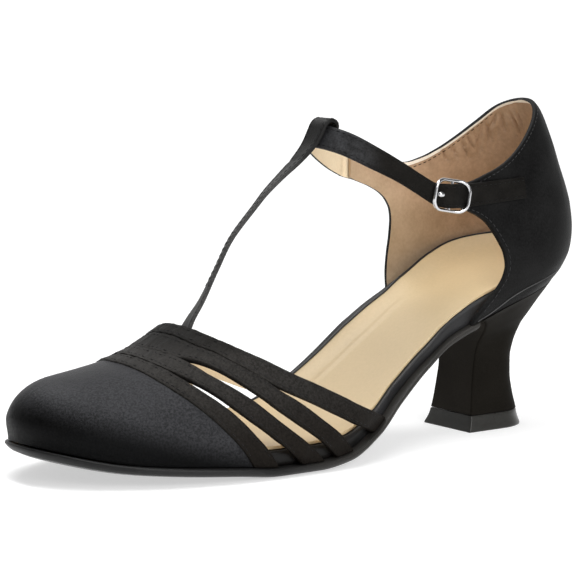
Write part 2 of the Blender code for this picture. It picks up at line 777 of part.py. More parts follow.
def buckle_axes():
    """Middle of the buckle's bar and its directions along the strap, up and out."""
    level = quarter_half(BUCKLE_PLACE, BUCKLE_HEIGHT, 1) + GAP + BUCKLE_BAR
    along = Vector(BUCKLE_RUN).normalized()
    up = (Vector((0.0, 0.0, 1.0)) - along * along.z).normalized()
    return Vector((BUCKLE_PLACE, level, BUCKLE_HEIGHT)), along, up, up.cross(along)


def buckle_frame(look):
    middle, along, up, out = buckle_axes()
    points = []
    for corner, (a_sign, b_sign) in enumerate(((1, 1), (-1, 1), (-1, -1), (1, -1))):
        for k in range(CORNER_POINTS + 1):
            turn = math.pi / 2 * (corner + k / CORNER_POINTS)
            a = a_sign * (BUCKLE_HALF_LENGTH - BUCKLE_CORNER) + BUCKLE_CORNER * math.cos(turn)
            b = b_sign * (BUCKLE_HALF_HEIGHT - BUCKLE_CORNER) + BUCKLE_CORNER * math.sin(turn)
            points.append((a, b))
        if b_sign == 1 and a_sign == 1 or b_sign == -1 and a_sign == -1:
            points.append((0.0, b_sign * BUCKLE_HALF_HEIGHT))
    path = []
    for a, b in points:
        bow = BUCKLE_BOW * (a / BUCKLE_HALF_LENGTH)**2
        path.append(middle + along * a + up * b + out * bow)
    frame = tube("buckle_frame", path, [BUCKLE_WIRE] * len(path), look, closed=True)
    bar = tube("buckle_bar", [middle - up * BUCKLE_HALF_HEIGHT, middle + up * BUCKLE_HALF_HEIGHT],
               [BUCKLE_BAR] * 2, look)
    bar.hide_render = True
    bar.display_type = "WIRE"
    join = frame.modifiers.new("bar", "BOOLEAN")
    join.operation = "UNION"
    join.object = bar
    return frame


def buckle_prong(look):
    middle, along, up, out = buckle_axes()
    start = BUCKLE_BAR + GAP + PRONG_WIRE
    path = [middle + along * (start + a) + out * b for a, b, radius in PRONG_ROWS]
    return tube("buckle_prong", path, [row[2] for row in PRONG_ROWS], look)


def build():
    for old in list(bpy.data.objects):
        bpy.data.objects.remove(old)
    chrome = (0.8, 0.8, 0.82)
    outsole(material("outsole_leather", (0.035, 0.035, 0.037), 0.6))
    insole(material("insole_satin", (0.012, 0.012, 0.013), 0.5))
    sock(material("tan_sock", (0.72, 0.56, 0.35), 0.6))
    heel(material("heel_satin", (0.012, 0.012, 0.013), 0.45))
    top_lift(material("lift_rubber", (0.03, 0.03, 0.032), 0.35))
    vamp(material("vamp_satin", (0.015, 0.015, 0.016), 0.5))
    quarter(material("quarter_satin", (0.014, 0.014, 0.015), 0.5))
    t_strap(material("t_strap_satin", (0.013, 0.013, 0.014), 0.5))
    ankle_strap(material("ankle_strap_satin", (0.013, 0.013, 0.014), 0.5))
    buckle_frame(material("buckle_chrome", chrome, 0.15, 1.0))
    buckle_prong(material("prong_chrome", chrome, 0.15, 1.0))


build()
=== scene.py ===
"""Looks of the T-strap dance shoe for the left foot.

The tables and sizes are in millimetres. In them x runs from the back of the heel cup to the toe, y to the
outer side of the foot and z up from the floor. piece() turns them into metres about the model's origin.
"""
import math

import bmesh
import bpy
import numpy as np
from mathutils import Matrix, Vector


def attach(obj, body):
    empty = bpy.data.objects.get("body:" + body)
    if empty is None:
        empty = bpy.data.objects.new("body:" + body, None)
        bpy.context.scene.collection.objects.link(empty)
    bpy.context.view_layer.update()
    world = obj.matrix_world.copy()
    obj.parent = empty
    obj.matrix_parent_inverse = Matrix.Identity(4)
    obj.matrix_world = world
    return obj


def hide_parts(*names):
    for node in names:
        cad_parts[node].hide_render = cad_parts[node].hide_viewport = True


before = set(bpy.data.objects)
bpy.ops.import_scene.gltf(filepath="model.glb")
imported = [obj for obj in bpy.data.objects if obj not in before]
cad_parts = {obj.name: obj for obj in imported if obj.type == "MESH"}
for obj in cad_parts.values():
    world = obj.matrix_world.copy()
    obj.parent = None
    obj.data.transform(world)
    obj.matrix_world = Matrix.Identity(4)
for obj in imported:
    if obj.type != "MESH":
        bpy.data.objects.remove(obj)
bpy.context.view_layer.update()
MM = 0.001
PER_MM = 1000

# Sole
LENGTH = 235.0
SEAT_BACK = 8.0
SOLE = 3.6
GAP = 0.3
TOE_ROUND = 77.0
SEAT_ROUND = 30.0
TOE_POWER = 2.13
SEAT_POWER = 2.1
TOE_SWING = 8.0
SWING_START = 150.0
SWING_POWER = 1.5
# Place along the foot, height of the underside, half width on the outer and inner side
SOLE_ROWS = (
    (8, 53.8, 26, 26), (30, 48.8, 26, 26), (50, 42.4, 25.5, 25.4), (67, 35.8, 25, 25),
    (82, 27.5, 27.9, 27.2), (97, 17.5, 31.9, 29.2), (112, 7.8, 37.9, 31.4), (127, 1.6, 41.5, 34.4),
    (140, 0, 42, 37), (156, 0, 42, 39.6), (172, 1.5, 42, 41.2), (190, 2.9, 42, 42),
    (210, 4.8, 41.5, 42), (236, 10.3, 41, 42),
)
# Rings of an edge from below: inset, share of the height
SOLE_EDGE = ((5.0, 0.0), (2.2, 0.2), (0.8, 0.45), (0.0, 0.72), (0.1, 0.88), (0.6, 1.0))
OUTSOLE_BACK = 56.8
STATIONS = 180
SOLE_COLUMNS = 61

# Insole and sock
# Place, inset below and above, thickness, rise of the inner and outer edge
INSOLE_ROWS = (
    (8, 2.9, -0.6, 7, 6.2, 6.2), (30, 2.9, -0.4, 7.1, 7.6, 3), (42, 2.9, 1.2, 7.2, 7.6, 0.4),
    (52, 2.9, 2.6, 7.1, 7, 0), (58, 2.9, 2.9, 7, 6.8, 0), (66, 2.9, 2.9, 6, 7, 0),
    (73, 2.6, 2.6, 5, 7.3, 0), (84, 3.6, 3.6, 4, 7.6, 0), (92, 4.2, 4.2, 3.9, 6.8, 0),
    (102, 4.7, 4.7, 4.1, 5.4, 0), (112, 4.7, 4.7, 4.6, 4.4, 0), (140, 4.7, 4.7, 5.2, 1.9, 0),
    (170, 4.7, 4.7, 5.2, 0, 0), (235, 4.7, 4.7, 5, 0, 0),
)
SEAT_LEAN = 3.0
RISE_POWER = 4
INSOLE_EDGE = ((0.2, 0.0), (0.08, 0.05), (0.0, 0.25), (0.0, 0.7), (0.12, 0.88), (0.7, 1.0))
SOCK = 1.0
# Place, inset on the outer and inner side
SOCK_ROWS = (
    (8, 0.6, 0.6), (48, 1.4, 0.8), (56, 0.8, 1.4), (62, 0.4, 1.9), (68, 0.6, 2.4), (74, 1.5, 2.6),
    (130, 2.2, 3), (160, 2.2, 2.2), (235, 2.2, 2.2),
)
SOCK_EDGE = ((0.0, 0.0), (0.0, 0.6), (0.1, 0.85), (0.3, 1.0))
PAD_RIDGE = 0.36  # height of the ridge over the edge of a pad
PAD_WIDTH = 1.2
PAD_SIDE = -11.8
PAD_ENDS = (58.0, 112.0)
PAD_FADE = 10.0
EDGING_ENDS = (14.0, 128.0)
EDGING_WIRE = (0.35, 0.15)  # radius at the back, growth to the front
EDGING_FADE = (20.0, 60.0)

# Vamp
# Place, height of the ridge
RIDGE_ROWS = (
    (100, 104), (120, 90), (140, 73), (155, 59.8), (166, 52.2), (175, 47), (185, 42),
    (195, 39.4), (205, 37.6), (215, 36.2), (225, 35), (233, 34.4),
)
VAMP_TIP = LENGTH + 1.1
VAMP_MARGIN = 0.9
VAMP_TUCK = 1.5
TUCK_HEIGHT = 9.0
TUCK_END = 3.0
VAMP_POWER = 2.1
TOE_CURVE = 20.8
TOE_CURVE_POWER = 2.48
RIDGE_SIDE = -4.5
WALL = 1.8
TOE_STEP = -0.6
# Height above which the straps take the copy of their satin with painted shade on top
STRAP_TOP_START = 38.0
STRAP_STEPS = (0.5, 0.3, 0.3, 0.0)
# Share of the way from the ridge down to the sole, back and front edge of straps 1 to 4
STRAP_ROWS = (
    (0.00, 170.4, 175.4, 175.4, 184, 184, 190, 190, 196.4),
    (0.15, 169.6, 175, 175, 182.7, 182.7, 189.2, 189.2, 195.4),
    (0.25, 168.3, 173.9, 173.9, 180.9, 180.9, 187.9, 187.9, 194.2),
    (0.35, 165.8, 171.2, 171.2, 177.2, 179, 185.6, 186, 192.6),
    (0.45, 162.1, 168.1, 168.1, 173.5, 176.8, 182.6, 183.6, 190.2),
    (0.55, 156.8, 163.7, 163.7, 169.6, 173.1, 179.1, 180.7, 187.3),
    (0.63, 151.8, 159.2, 159.2, 165.8, 169.2, 176, 177.7, 184.7),
    (0.70, 146.2, 154.2, 155, 161.7, 165.1, 172.8, 174.6, 182.1),
    (0.78, 137.4, 146.4, 148.5, 156.4, 160, 168.2, 170.8, 178.9),
    (0.86, 127, 136.1, 140.9, 149.5, 153.7, 161.9, 166.6, 175.2),
    (0.93, 117.4, 125.6, 132.9, 141.5, 146.6, 155.6, 162.1, 171.6),
    (1.00, 107.2, 114.6, 125.3, 133, 138.4, 148.4, 157.4, 167.6),
)
# How far each of these edges moves forward on the inner side
INNER_SHIFT = (-4.5, -4.5, 2.5, 2.5, 2.0, 1.5, 1.0, 0.0)
SHIFT_START = 0.6
STRAP_SHARES = (0, 0.03, 0.08, 0.15, 0.26, 0.4, 0.6, 0.74, 0.85, 0.92, 0.97, 1)
VAMP_COLUMNS = 181
TOE_STATIONS = 56

# Quarter
# Share of the height, place of the back, half width, reach of the round back
QUARTER_ROWS = (
    (0.00, 8.4, 25.6, 30), (0.06, 4.2, 27.2, 30), (0.15, 1.2, 28.6, 30), (0.28, 0, 29.3, 32.5),
    (0.40, 0.7, 28.9, 33.5), (0.50, 2.4, 28.3, 34), (0.62, 5, 27.6, 35.5), (0.74, 7.6, 27.2, 37),
    (0.86, 10.6, 27, 41), (0.95, 13.2, 27, 44), (1.00, 15.2, 27, 46),
)
# Share of the height, front edge on the outer and inner side
FRONT_ROWS = (
    (0.00, 60.2, 61.6), (0.03, 59.2, 61.5), (0.08, 56.8, 61.4), (0.15, 52.4, 61.3), (0.24, 48.2, 61.1),
    (0.32, 47.1, 60.8), (0.40, 47.7, 60.4), (0.50, 49.9, 59.8), (0.60, 52.7, 59.6), (0.68, 55.7, 60.2),
    (0.75, 59.4, 62.2), (0.81, 63.8, 65.8), (0.85, 68.4, 71), (0.88, 71.2, 79), (1.00, 71.2, 79),
)
# Place, height of the topline on the outer and inner side
TOPLINE_ROWS = (
    (15, 124.4, 124.4), (19, 121.8, 121.4), (25, 116.6, 115.2), (32, 111, 109.2), (39, 105.9, 104.6),
    (46, 102, 101.4), (53, 99.3, 99.8), (66, 95.8, 100.4), (82, 95.8, 104.6),
)
QUARTER_WALL = 1.8
QUARTER_COLUMNS = 120
COLUMN_POWER = 1.7
QUARTER_LEVELS = 110
COLUMNS_END = 0.985
LEVELS_END = 0.975
FRONT_RIM = (0.988, 0.992, 0.996, 0.998, 1.0)
TOP_RIM = (0.98, 0.985, 0.99, 0.995, 1.0)
BINDING = 1.1
WING_START = 0.88

# Heel and top lift
# Share of the height, front, back, half width
HEEL_ROWS = (
    (0.00, 50.8, 22.5, 12.6), (0.13, 50, 24.1, 11.9), (0.28, 49.2, 25.1, 11.3), (0.42, 48.4, 25, 11),
    (0.55, 48.1, 23.6, 11.6), (0.67, 48.1, 20.6, 13.3), (0.78, 48.6, 15.9, 17), (0.88, 50.4, 11.9, 20.6),
    (0.95, 53, 9.4, 23.2), (1.00, 56.4, 8.3, 25.4),
)
HEEL_ROUND = 1.1
LIFT = 6.0
LIFT_FOOT = (53.0, 20.7, 14.3)
LIFT_FLARE = 1.6
HEEL_LEVELS = 64
HEEL_CORNER = 0.8
LIFT_CORNER = 0.35
LIFT_ROUND = 0.3
SEAT_BLEND = 0.6  # share of the height where the heel starts to take the seat's round back
LIFT_LEVELS = (0.0, 0.04, 0.12, 0.3, 0.5, 0.75, 0.94, 1.0)
FRONT_POINTS = 6  # of a section's flat front, from its middle to a corner

# T-strap and ankle strap
# Middle of the strap (x, y, z), width, twist in degrees
T_STRAP_ROWS = (
    (177.5, -4.6, 41.9, 8, 0), (173.5, -4.6, 43.9, 8, 0), (168.6, -4.4, 46.4, 7.4, 6),
    (165, -4, 51.8, 6.6, 18), (160.4, -3.6, 58.2, 6.2, 26), (154.6, -3.1, 68.6, 6, 30),
    (148.3, -2.7, 79.2, 6, 30), (138.7, -2.3, 89.6, 6, 28), (133.7, -2, 94.8, 6.2, 24),
    (127.6, -1.7, 100, 6.6, 18), (121.1, -1.4, 105.2, 7.6, 10), (116, -0.9, 110.5, 8.8, 4),
    (113.2, -0.3, 115.4, 9.2, 0), (111.8, -0.1, 118.2, 9.2, 0), (109.8, 0, 119.7, 9.2, 0),
    (107.2, 0, 119.2, 9.2, 0), (106.4, 0, 117.4, 9.2, 0), (107.3, 0, 115, 9.2, 0),
    (109.9, 0, 109.6, 9.2, 0),
)
T_STRAP = 1.4
# Fold that sways along the T-strap, and the crease over its loop, in shares of its length and width
T_FOLD = 0.3
T_FOLD_SWAY = 0.2
T_FOLD_TURN = 8.0
T_FOLD_WIDTH = 0.12
T_FOLD_END = 0.8
T_CREASE = 0.35
T_CREASE_PLACE = 0.725
T_CREASE_SLANT = 0.02
T_CREASE_WIDTH = 0.006
T_LINING_END = 0.76
T_SEWING_START = 30
# Middle of the strap (x, y, z), width, lean in degrees
ANKLE_ROWS = (
    (64, -27.3, 96, 8.6, 0), (72, -27.3, 97.6, 8.8, 0), (79.5, -27, 99.8, 9, 0),
    (86, -25.2, 102.4, 9, 2), (92.5, -22.2, 105.4, 8.8, 6), (100.2, -17, 109.1, 8.6, 13),
    (107, -9.6, 112.1, 8.6, 21), (110.6, 0, 113.4, 8.6, 25), (106.8, 9.8, 111.2, 8.6, 21),
    (99.4, 17.2, 106.1, 8, 12), (92, 21.6, 101.3, 7.1, 6), (86, 23.7, 97.3, 6.8, 2),
    (81.2, 25, 94.2, 7, 0), (78.4, 26.2, 92.8, 8, 0), (76.2, 27.4, 92.2, 8.7, 0),
    (73.9, 28.8, 91.9, 8.8, 0), (72.2, 28.8, 91.8, 8.8, 0), (69.2, 28.1, 91.7, 8.8, 0),
    (65.2, 27.3, 91.6, 8.4, 0), (55, 27.4, 92, 8.2, 0), (46, 27, 92.4, 8, 0),
    (38.5, 26, 92.8, 7.8, 0),
)
ANKLE = 1.6
BAND_SHARES = np.array((-0.5, -0.47, -0.42, -0.34, -0.22, -0.08, 0, 0.08, 0.22, 0.34, 0.42, 0.47, 0.5))
HOLE_SHARE = 0.08
HOLE_BACK = 76.3
HOLE_FRONT = 78.0
OUTER_SEAT_END = 72.2
INNER_SEAT_END = 82.0
# Folds beside the loop: depth, place across the strap, width
ANKLE_FOLDS = ((0.25, 0.2, 0.06), (0.3, -0.1, 0.05))
LOOP_PLACE = 106.0
LOOP_REACH = 6.0

# Buckle
BUCKLE_PLACE = 73.2
BUCKLE_HEIGHT = 91.9
BUCKLE_RUN = (15.0, -1.6, 2.7)
BUCKLE_HALF_LENGTH = 7.3
BUCKLE_HALF_HEIGHT = 5.5
BUCKLE_CORNER = 3.7
BUCKLE_STRAIGHT = 3.2
BUCKLE_WIRE = 0.68
BUCKLE_BAR = 0.6
BUCKLE_BOW = 1.35
# Distance along the buckle, height over it, radius
PRONG_ROWS = (
    (1.2, -0.4, 0.5), (2.2, -1.1, 0.5), (3.2, -1, 0.5), (3.7, 0.2, 0.5), (3.9, 1.1, 0.7),
    (4.4, 1.6, 1), (5.1, 1.75, 1.1), (5.8, 1.75, 1.05), (6.3, 1.7, 0.75), (6.5, 1.7, 0.3),
)
WIRE_SIDES = 20

# Edges, stitches and folds
JOIN_DEPTH = (0.45, 0.3, 0.3)  # of the grooves where straps 1 and 2, 2 and 3, 3 and 4 join
JOIN_FADE = 0.8  # opening between two straps at which the groove is as deep as a free edge
EDGE_ROLL = 0.7  # length over which an edge rounds off
EDGE_DROP = 0.4
STITCH_PITCH = 2.3
STITCH = 1.6
STITCH_MARGIN = 1.3
# One stitch: share of its length, rise and radius in sizes of the thread
STITCH_ROWS = ((0.0, -0.7, 0.4), (0.15, 0.2, 0.9), (0.5, 0.45, 1.0), (0.85, 0.2, 0.9), (1.0, -0.7, 0.4))
BAND_MARGIN = 1.1
FRONT_MARGIN = 1.5
LINING_MARGIN = 2.5
SEWING_START = 19.5
SEWING_ENDS = {1.0: 69.0, -1.0: 77.0}
LINING_SEWING_END = 68.0
FRONT_SEWING = (0.06, 0.84)
STRAP_SEWING = (-0.97, 0.97)
THREAD_SINK = 0.04
SEAM_WIRE = 0.22
SEAM_LIFT = 0.05
# Lines of folds, with the width and depth of their troughs and ridges
TOE_CREASE = ((207.8, 16.3, 29.5), (194.8, 21.2, 30.5), (185.4, 25.6, 31.2))
TOE_CREASE_FORM = (5.0, 0.35)
STRAP_HUMP = ((148.9, 40.4, 10.2), (148.2, 40.0, 5.0))
STRAP_HUMP_FORM = (1.7, 1.6)
FOLD_RIDGE = (0.7, 1.5)
FOLD_SIDES = (1.9, 0.6)
# Puckers of the straps: height, length, change of phase from strap to strap and along the foot
PUCKERS = ((0.07, 6.7, 1.7, 0.21), (0.055, 4.3, 2.9, -0.37), (0.035, 3.1, 4.1, 0.55))
PUCKER_LEAST = 0.35  # share of their height that is left beside the instep
PUCKER_REACH = 0.4
PUCKER_END = 0.1
LINING_FOLDS = (
    ((15, -5.3, 119.1), (13.5, -4.7, 116), (11.3, -4.2, 110.9)),
    ((15.6, -8.2, 117.8), (13.2, -6.8, 113.5), (11.1, -6.3, 108.8)),
    ((18.7, -12.2, 117), (18.9, -13.8, 114.2), (19.3, -15.2, 111.8)),
    ((23.1, -16, 113.5), (22, -17.9, 107.9), (20.5, -19.7, 101.5)),
    ((25.7, -17.6, 111.2), (22.9, -18.6, 106.8), (21.5, -19.7, 102.7)),
    ((21.3, -15.1, 114.2), (19.6, -15.9, 110.6), (18, -16.7, 106.6)),
    ((29.3, -19.9, 107.4), (27.2, -20.8, 103.4), (24.5, -21.5, 99.3)),
    ((27.6, -19, 108.9), (25.6, -19.6, 106.1), (23.7, -20.1, 103.2)),
    ((17.7, -11, 117.8), (16.2, -11.6, 114.2), (14.8, -12, 110.6)),
    ((33.1, -21.4, 104.8), (31.3, -21.8, 102.3), (29.5, -22.2, 99.9)),
    ((36.9, -22.2, 103.8), (35.5, -22.7, 101.3), (34.2, -23.1, 98.9)),
)
# Seam over the heel: place along the foot, height above the lower edge of the quarter
SEAM_ROWS = ((20, 4.6), (30, 4.2), (37, 3.9), (43.7, 3.2), (49, 1.8), (54, 0.8), (58, 0.5))


def table(rows, column, at):
    """Read a column of a table at places with a smooth curve that never overshoots its rows."""
    rows = np.array(rows, float)
    places, values = rows[:, 0], rows[:, column]
    secant = np.diff(values) / np.diff(places)
    product = secant[:-1] * secant[1:]
    total = np.where(product > 0, secant[:-1] + secant[1:], 1.0)
    slope = np.concatenate((secant[:1], np.where(product > 0, 2 * product / total, 0.0), secant[-1:]))
    at = np.clip(at, places[0], places[-1])
    i = np.clip(np.searchsorted(places, at, "right") - 1, 0, len(places) - 2)
    span = places[i + 1] - places[i]
    u = (at - places[i]) / span
    return ((2 * u**3 - 3 * u**2 + 1) * values[i] + (u**3 - 2 * u**2 + u) * span * slope[i]
            + (3 * u**2 - 2 * u**3) * values[i + 1] + (u**3 - u**2) * span * slope[i + 1])


def closure(distance, reach, power):
    """Rounded end: 0 at the tip, 1 from the given reach on."""
    u = np.clip(distance / reach, 0.0, 1.0)
    return (1 - (1 - u)**power)**(1 / power)


def smooth(u):
    u = np.clip(u, 0.0, 1.0)
    return u * u * (3 - 2 * u)


def unit(v):
    return v / np.maximum(np.linalg.norm(v, axis=-1, keepdims=True), 1e-12)


def travelled(points, axis=0):
    """Distance along rows of points from the first one."""
    steps = np.diff(points, axis=axis, prepend=np.take(points, [0], axis))
    return np.cumsum(np.linalg.norm(steps, axis=-1), axis=axis)


def underside(x):
    return table(SOLE_ROWS, 1, x)


def feather(x):
    step = 0.5
    slope = (underside(x + step) - underside(x - step)) / (2 * step)
    return underside(x) + SOLE * np.sqrt(1 + slope * slope)


def swing(x):
    return -TOE_SWING * np.clip((x - SWING_START) / (LENGTH - SWING_START), 0.0, None)**SWING_POWER


def sole_half(x, side):
    return np.where(side > 0, table(SOLE_ROWS, 2, x), table(SOLE_ROWS, 3, x))


def sole_edge(x, side, inset, lean=0.0):
    toe = closure(LENGTH - inset - x, TOE_ROUND, TOE_POWER)
    seat = closure(x - SEAT_BACK + lean - inset, SEAT_ROUND, SEAT_POWER)
    return swing(x) + side * (sole_half(x, side) - inset) * toe * seat


FOOT = np.arange(SEAT_BACK, LENGTH)
MIDDLE = (max(sole_edge(FOOT, 1, 0.0)) + min(sole_edge(FOOT, -1, 0.0))) / 2
ORIGIN = np.array((LENGTH / 2, MIDDLE, 0.0))


def insole_inset(x, share):
    return table(INSOLE_ROWS, 1, x) * (1 - share) + table(INSOLE_ROWS, 2, x) * share


def insole_edge(x, side, inset, share):
    return sole_edge(x, side, insole_inset(x, share) + inset, SEAT_LEAN * share)


def insole_ends(inset, share):
    back = SEAT_BACK - SEAT_LEAN * share + insole_inset(SEAT_BACK, share) + inset
    return back, LENGTH - insole_inset(LENGTH, share) - inset


def insole_low(x):
    return feather(x) + GAP


def insole_high(x, y):
    thick, inner, outer = (table(INSOLE_ROWS, column, x) for column in (3, 4, 5))
    across = np.clip((swing(x) - y) / (table(SOLE_ROWS, 3, x) - insole_inset(x, 1)), -1.0, 1.0)
    behind = np.clip(1 - (x - SEAT_BACK + SEAT_LEAN - insole_inset(x, 1)) / SEAT_ROUND, 0.0, 1.0)
    out = np.minimum(1.0, (np.abs(across)**SEAT_POWER + behind**SEAT_POWER)**(1 / SEAT_POWER))
    rise = outer + (inner - outer) * smooth((1 + across) / 2)
    return insole_low(x) + thick + rise * out**RISE_POWER


def vamp_half(x, side):
    return (sole_half(x, side) - VAMP_MARGIN) * closure(VAMP_TIP - x, TOE_ROUND, TOE_POWER)


def vamp_point(x, around):
    """Point on the outer face of the straps: around is 0 on the ridge, 1 and -1 at the sole."""
    side = np.where(around >= 0, 1.0, -1.0)
    angle = np.abs(around) * np.pi / 2
    low = feather(x) + GAP
    high = low + (table(RIDGE_ROWS, 1, x) - low) * closure(VAMP_TIP - x, TOE_CURVE, TOE_CURVE_POWER)
    top = swing(x) + RIDGE_SIDE * closure(VAMP_TIP - x, TOE_ROUND, TOE_POWER)
    edge = swing(x) + side * vamp_half(x, side)
    across = np.sin(angle)**(2 / VAMP_POWER)
    y = top + (edge - top) * across
    z = low + (high - low) * np.clip(np.cos(angle), 0.0, None)**(2 / VAMP_POWER)
    step = 0.05
    slope = (vamp_half(x + step, side) - vamp_half(x - step, side)) / (2 * step)
    tuck = VAMP_TUCK * smooth(1 - (z - low) / TUCK_HEIGHT) / np.hypot(1, slope)
    y = y - side * tuck * across * closure(VAMP_TIP - x, TUCK_END, 2)
    return np.stack((x + tuck * slope, y, z), -1)


def vamp_normal(x, around):
    along = vamp_point(x + 0.2, around) - vamp_point(x - 0.2, around)
    down = vamp_point(x, np.minimum(1.0, around + 0.004)) - vamp_point(x, np.maximum(-1.0, around - 0.004))
    normal = unit(np.cross(along, down))
    normal[x >= VAMP_TIP - 1e-6] = (1.0, 0.0, 0.0)
    return normal


def strap_place(column, around):
    shift = INNER_SHIFT[column - 1] * smooth((-around - SHIFT_START) / (1 - SHIFT_START))
    return table(STRAP_ROWS, column, np.abs(around)) + shift


def topline(x, side):
    return np.where(side > 0, table(TOPLINE_ROWS, 1, x), table(TOPLINE_ROWS, 2, x))


def quarter_width(x, share, side):
    back, width, reach = (table(QUARTER_ROWS, column, share) for column in (1, 2, 3))
    follow = sole_half(x, side) / SOLE_ROWS[0][2]
    return width * follow**(1 - share) * closure(x - back, reach, SEAT_POWER)


def quarter_front(share, side):
    return np.where(side > 0, table(FRONT_ROWS, 1, share), table(FRONT_ROWS, 2, share))


def quarter_point(around, share):
    """Point on the heel cup: around is 0 at the back, 1 on the outer front edge, -1 on the inner one."""
    side = np.where(around >= 0, 1.0, -1.0)
    back = table(QUARTER_ROWS, 1, share)
    x = back + (quarter_front(share, side) - back) * np.abs(around)**COLUMN_POWER
    low = feather(x) + GAP
    return np.stack((x, side * quarter_width(x, share, side), low + share * (topline(x, side) - low)), -1)


def quarter_normal(around, share):
    step = 0.01
    along = quarter_point(around + step, share) - quarter_point(around - step, share)
    above, below = np.minimum(1.0, share + step), np.maximum(0.0, share - step)
    up = quarter_point(around, above) - quarter_point(around, below)
    return unit(np.cross(up, along))


def quarter_half(x, z, side):
    low = feather(x) + GAP
    return quarter_width(x, np.clip((z - low) / (topline(x, side) - low), 0.0, 1.0), side)


def roll(distance):
    """How far an edge rounds down at a distance from it."""
    u = 1 - np.clip(distance / EDGE_ROLL, 0.0, 1.0)
    return EDGE_DROP * (1 - np.sqrt(1 - u * u))


def route(rows, spacing):
    """Values of a smooth curve through the rows, at points about the given spacing apart."""
    rows = np.array(rows, float)
    rows = np.vstack((2 * rows[0] - rows[1], rows, 2 * rows[-1] - rows[-2]))
    points = []
    for a, b, c, d in zip(rows, rows[1:], rows[2:], rows[3:]):
        pieces = max(1, round(np.linalg.norm(c[:3] - b[:3]) / spacing))
        for k in range(pieces):
            u = k / pieces
            points.append((2 * b + (c - a) * u + (2 * a - 5 * b + 4 * c - d) * u**2
                           + (3 * b - a - 3 * c + d) * u**3) / 2)
    return np.array(points + [rows[-2]])


def trough(points, line, width, depth):
    """Soft fold along a line of points: depth at the line, fading to its sides and to its two ends."""
    line = np.array(line, float)
    best = np.full(points.shape[:-1], 1e9)
    place = np.zeros(points.shape[:-1])
    for i, (a, b) in enumerate(zip(line, line[1:])):
        run = b - a
        u = np.clip(((points - a) @ run) / (run @ run), 0.0, 1.0)
        away = np.linalg.norm(points - a - u[..., None] * run, axis=-1)
        closer = away < best
        best = np.where(closer, away, best)
        place = np.where(closer, (i + u) / (len(line) - 1), place)
    return depth * np.exp(-(best / width)**2) * np.sin(np.pi * np.clip(place, 0.02, 0.98))**0.6


def placed(name, data):
    made = bpy.data.objects.new(name, data)
    bpy.context.scene.collection.objects.link(made)
    return made


def piece(name, points, faces, looks, slot, tags=None, replaces=(), uv=None, sharp=50):
    """Make one piece from points in millimetres. tags gives each face's place in looks."""
    mesh = bpy.data.meshes.new(name)
    points = (np.asarray(points, float) - ORIGIN) * MM
    mesh.from_pydata(points.tolist(), [], [tuple(int(k) for k in face) for face in faces])
    for item in looks:
        mesh.materials.append(item)
    if tags is not None:
        mesh.polygons.foreach_set("material_index", np.asarray(tags, np.int32))
    if uv is not None:
        layer = mesh.uv_layers.new(name="weave")
        corners = np.array([k for face in faces for k in face])
        layer.data.foreach_set("uv", np.asarray(uv, np.float32)[corners].ravel())
    work = bmesh.new()
    work.from_mesh(mesh)
    bmesh.ops.remove_doubles(work, verts=work.verts, dist=1e-6)
    bmesh.ops.dissolve_degenerate(work, edges=work.edges, dist=1e-6)
    bmesh.ops.recalc_face_normals(work, faces=work.faces)
    if work.calc_volume(signed=True) < 0:
        bmesh.ops.reverse_faces(work, faces=work.faces)
    work.to_mesh(mesh)
    work.free()
    mesh.shade_smooth()
    mesh.set_sharp_from_angle(angle=math.radians(sharp))
    made = placed(name, mesh)
    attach(made, "root")
    if replaces:
        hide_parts(*replaces)


def wall(name, layers, looks, outer_tags, inner_tags, rim_tags, holes=False, **how):
    """Close matching grids of points, the outer one first, into one wall without the cells in holes.

    The tags are places in looks: one for all, or one for each cell, and for each ring and point of the rim.
    """
    rows, columns = layers[0].shape[:2]
    cells, size, rings = (rows - 1, columns - 1), rows * columns, len(layers) - 1
    outer_tags, inner_tags, holes = (np.broadcast_to(a, cells) for a in (outer_tags, inner_tags, holes))
    rim_tags = np.broadcast_to(rim_tags, (rings, size))
    across = travelled(layers[0], 1)
    across -= across[:, columns // 2:columns // 2 + 1]
    flat = np.stack((across, travelled(layers[0])), -1).reshape(-1, 2)
    faces, tags, borders = [], [], {}
    for i, j in np.argwhere(~holes).tolist():
        near, far = i * columns + j, (i + 1) * columns + j
        corners = (near, near + 1, far + 1, far)
        faces += [corners, tuple(k + rings * size for k in reversed(corners))]
        tags += [outer_tags[i, j], inner_tags[i, j]]
        for a, b in zip(corners, corners[1:] + corners[:1]):
            key = (min(a, b), max(a, b))
            borders[key] = None if key in borders else (a, b)
    for a, b in filter(None, borders.values()):
        for ring in range(rings):
            base = ring * size
            faces.append((base + b, base + a, base + size + a, base + size + b))
            tags.append(rim_tags[ring, a])
    points = np.concatenate([layer.reshape(-1, 3) for layer in layers])
    piece(name, points, faces, looks, tags=tags, uv=np.tile(flat, (rings + 1, 1)), **how)


def slab(name, ends, edge, height, profile, looks, below=0, **how):
    """Sole-like piece with the rings of a profile. below is the look of its underside and lowest ring."""
    columns = np.sin(np.linspace(-np.pi / 2, np.pi / 2, SOLE_COLUMNS))
    u = (1 - np.cos(np.pi * np.arange(STATIONS + 1) / STATIONS)) / 2
    layers = []
    for inset, share in reversed(profile):
        start, stop = ends(inset, share)
        x = start + (stop - start) * u
        inner, outer = edge(x, -1, inset, share), edge(x, 1, inset, share)
        y = inner[:, None] + (outer - inner)[:, None] * (columns + 1) / 2
        xx = np.repeat(x[:, None], SOLE_COLUMNS, 1)
        layers.append(np.stack((xx, y, height(xx, y, share)), -1))
    rim_tags = np.zeros((len(profile) - 1, 1), int)
    rim_tags[-1] = below
    wall(name, layers, looks, 0, below, rim_tags, **how)


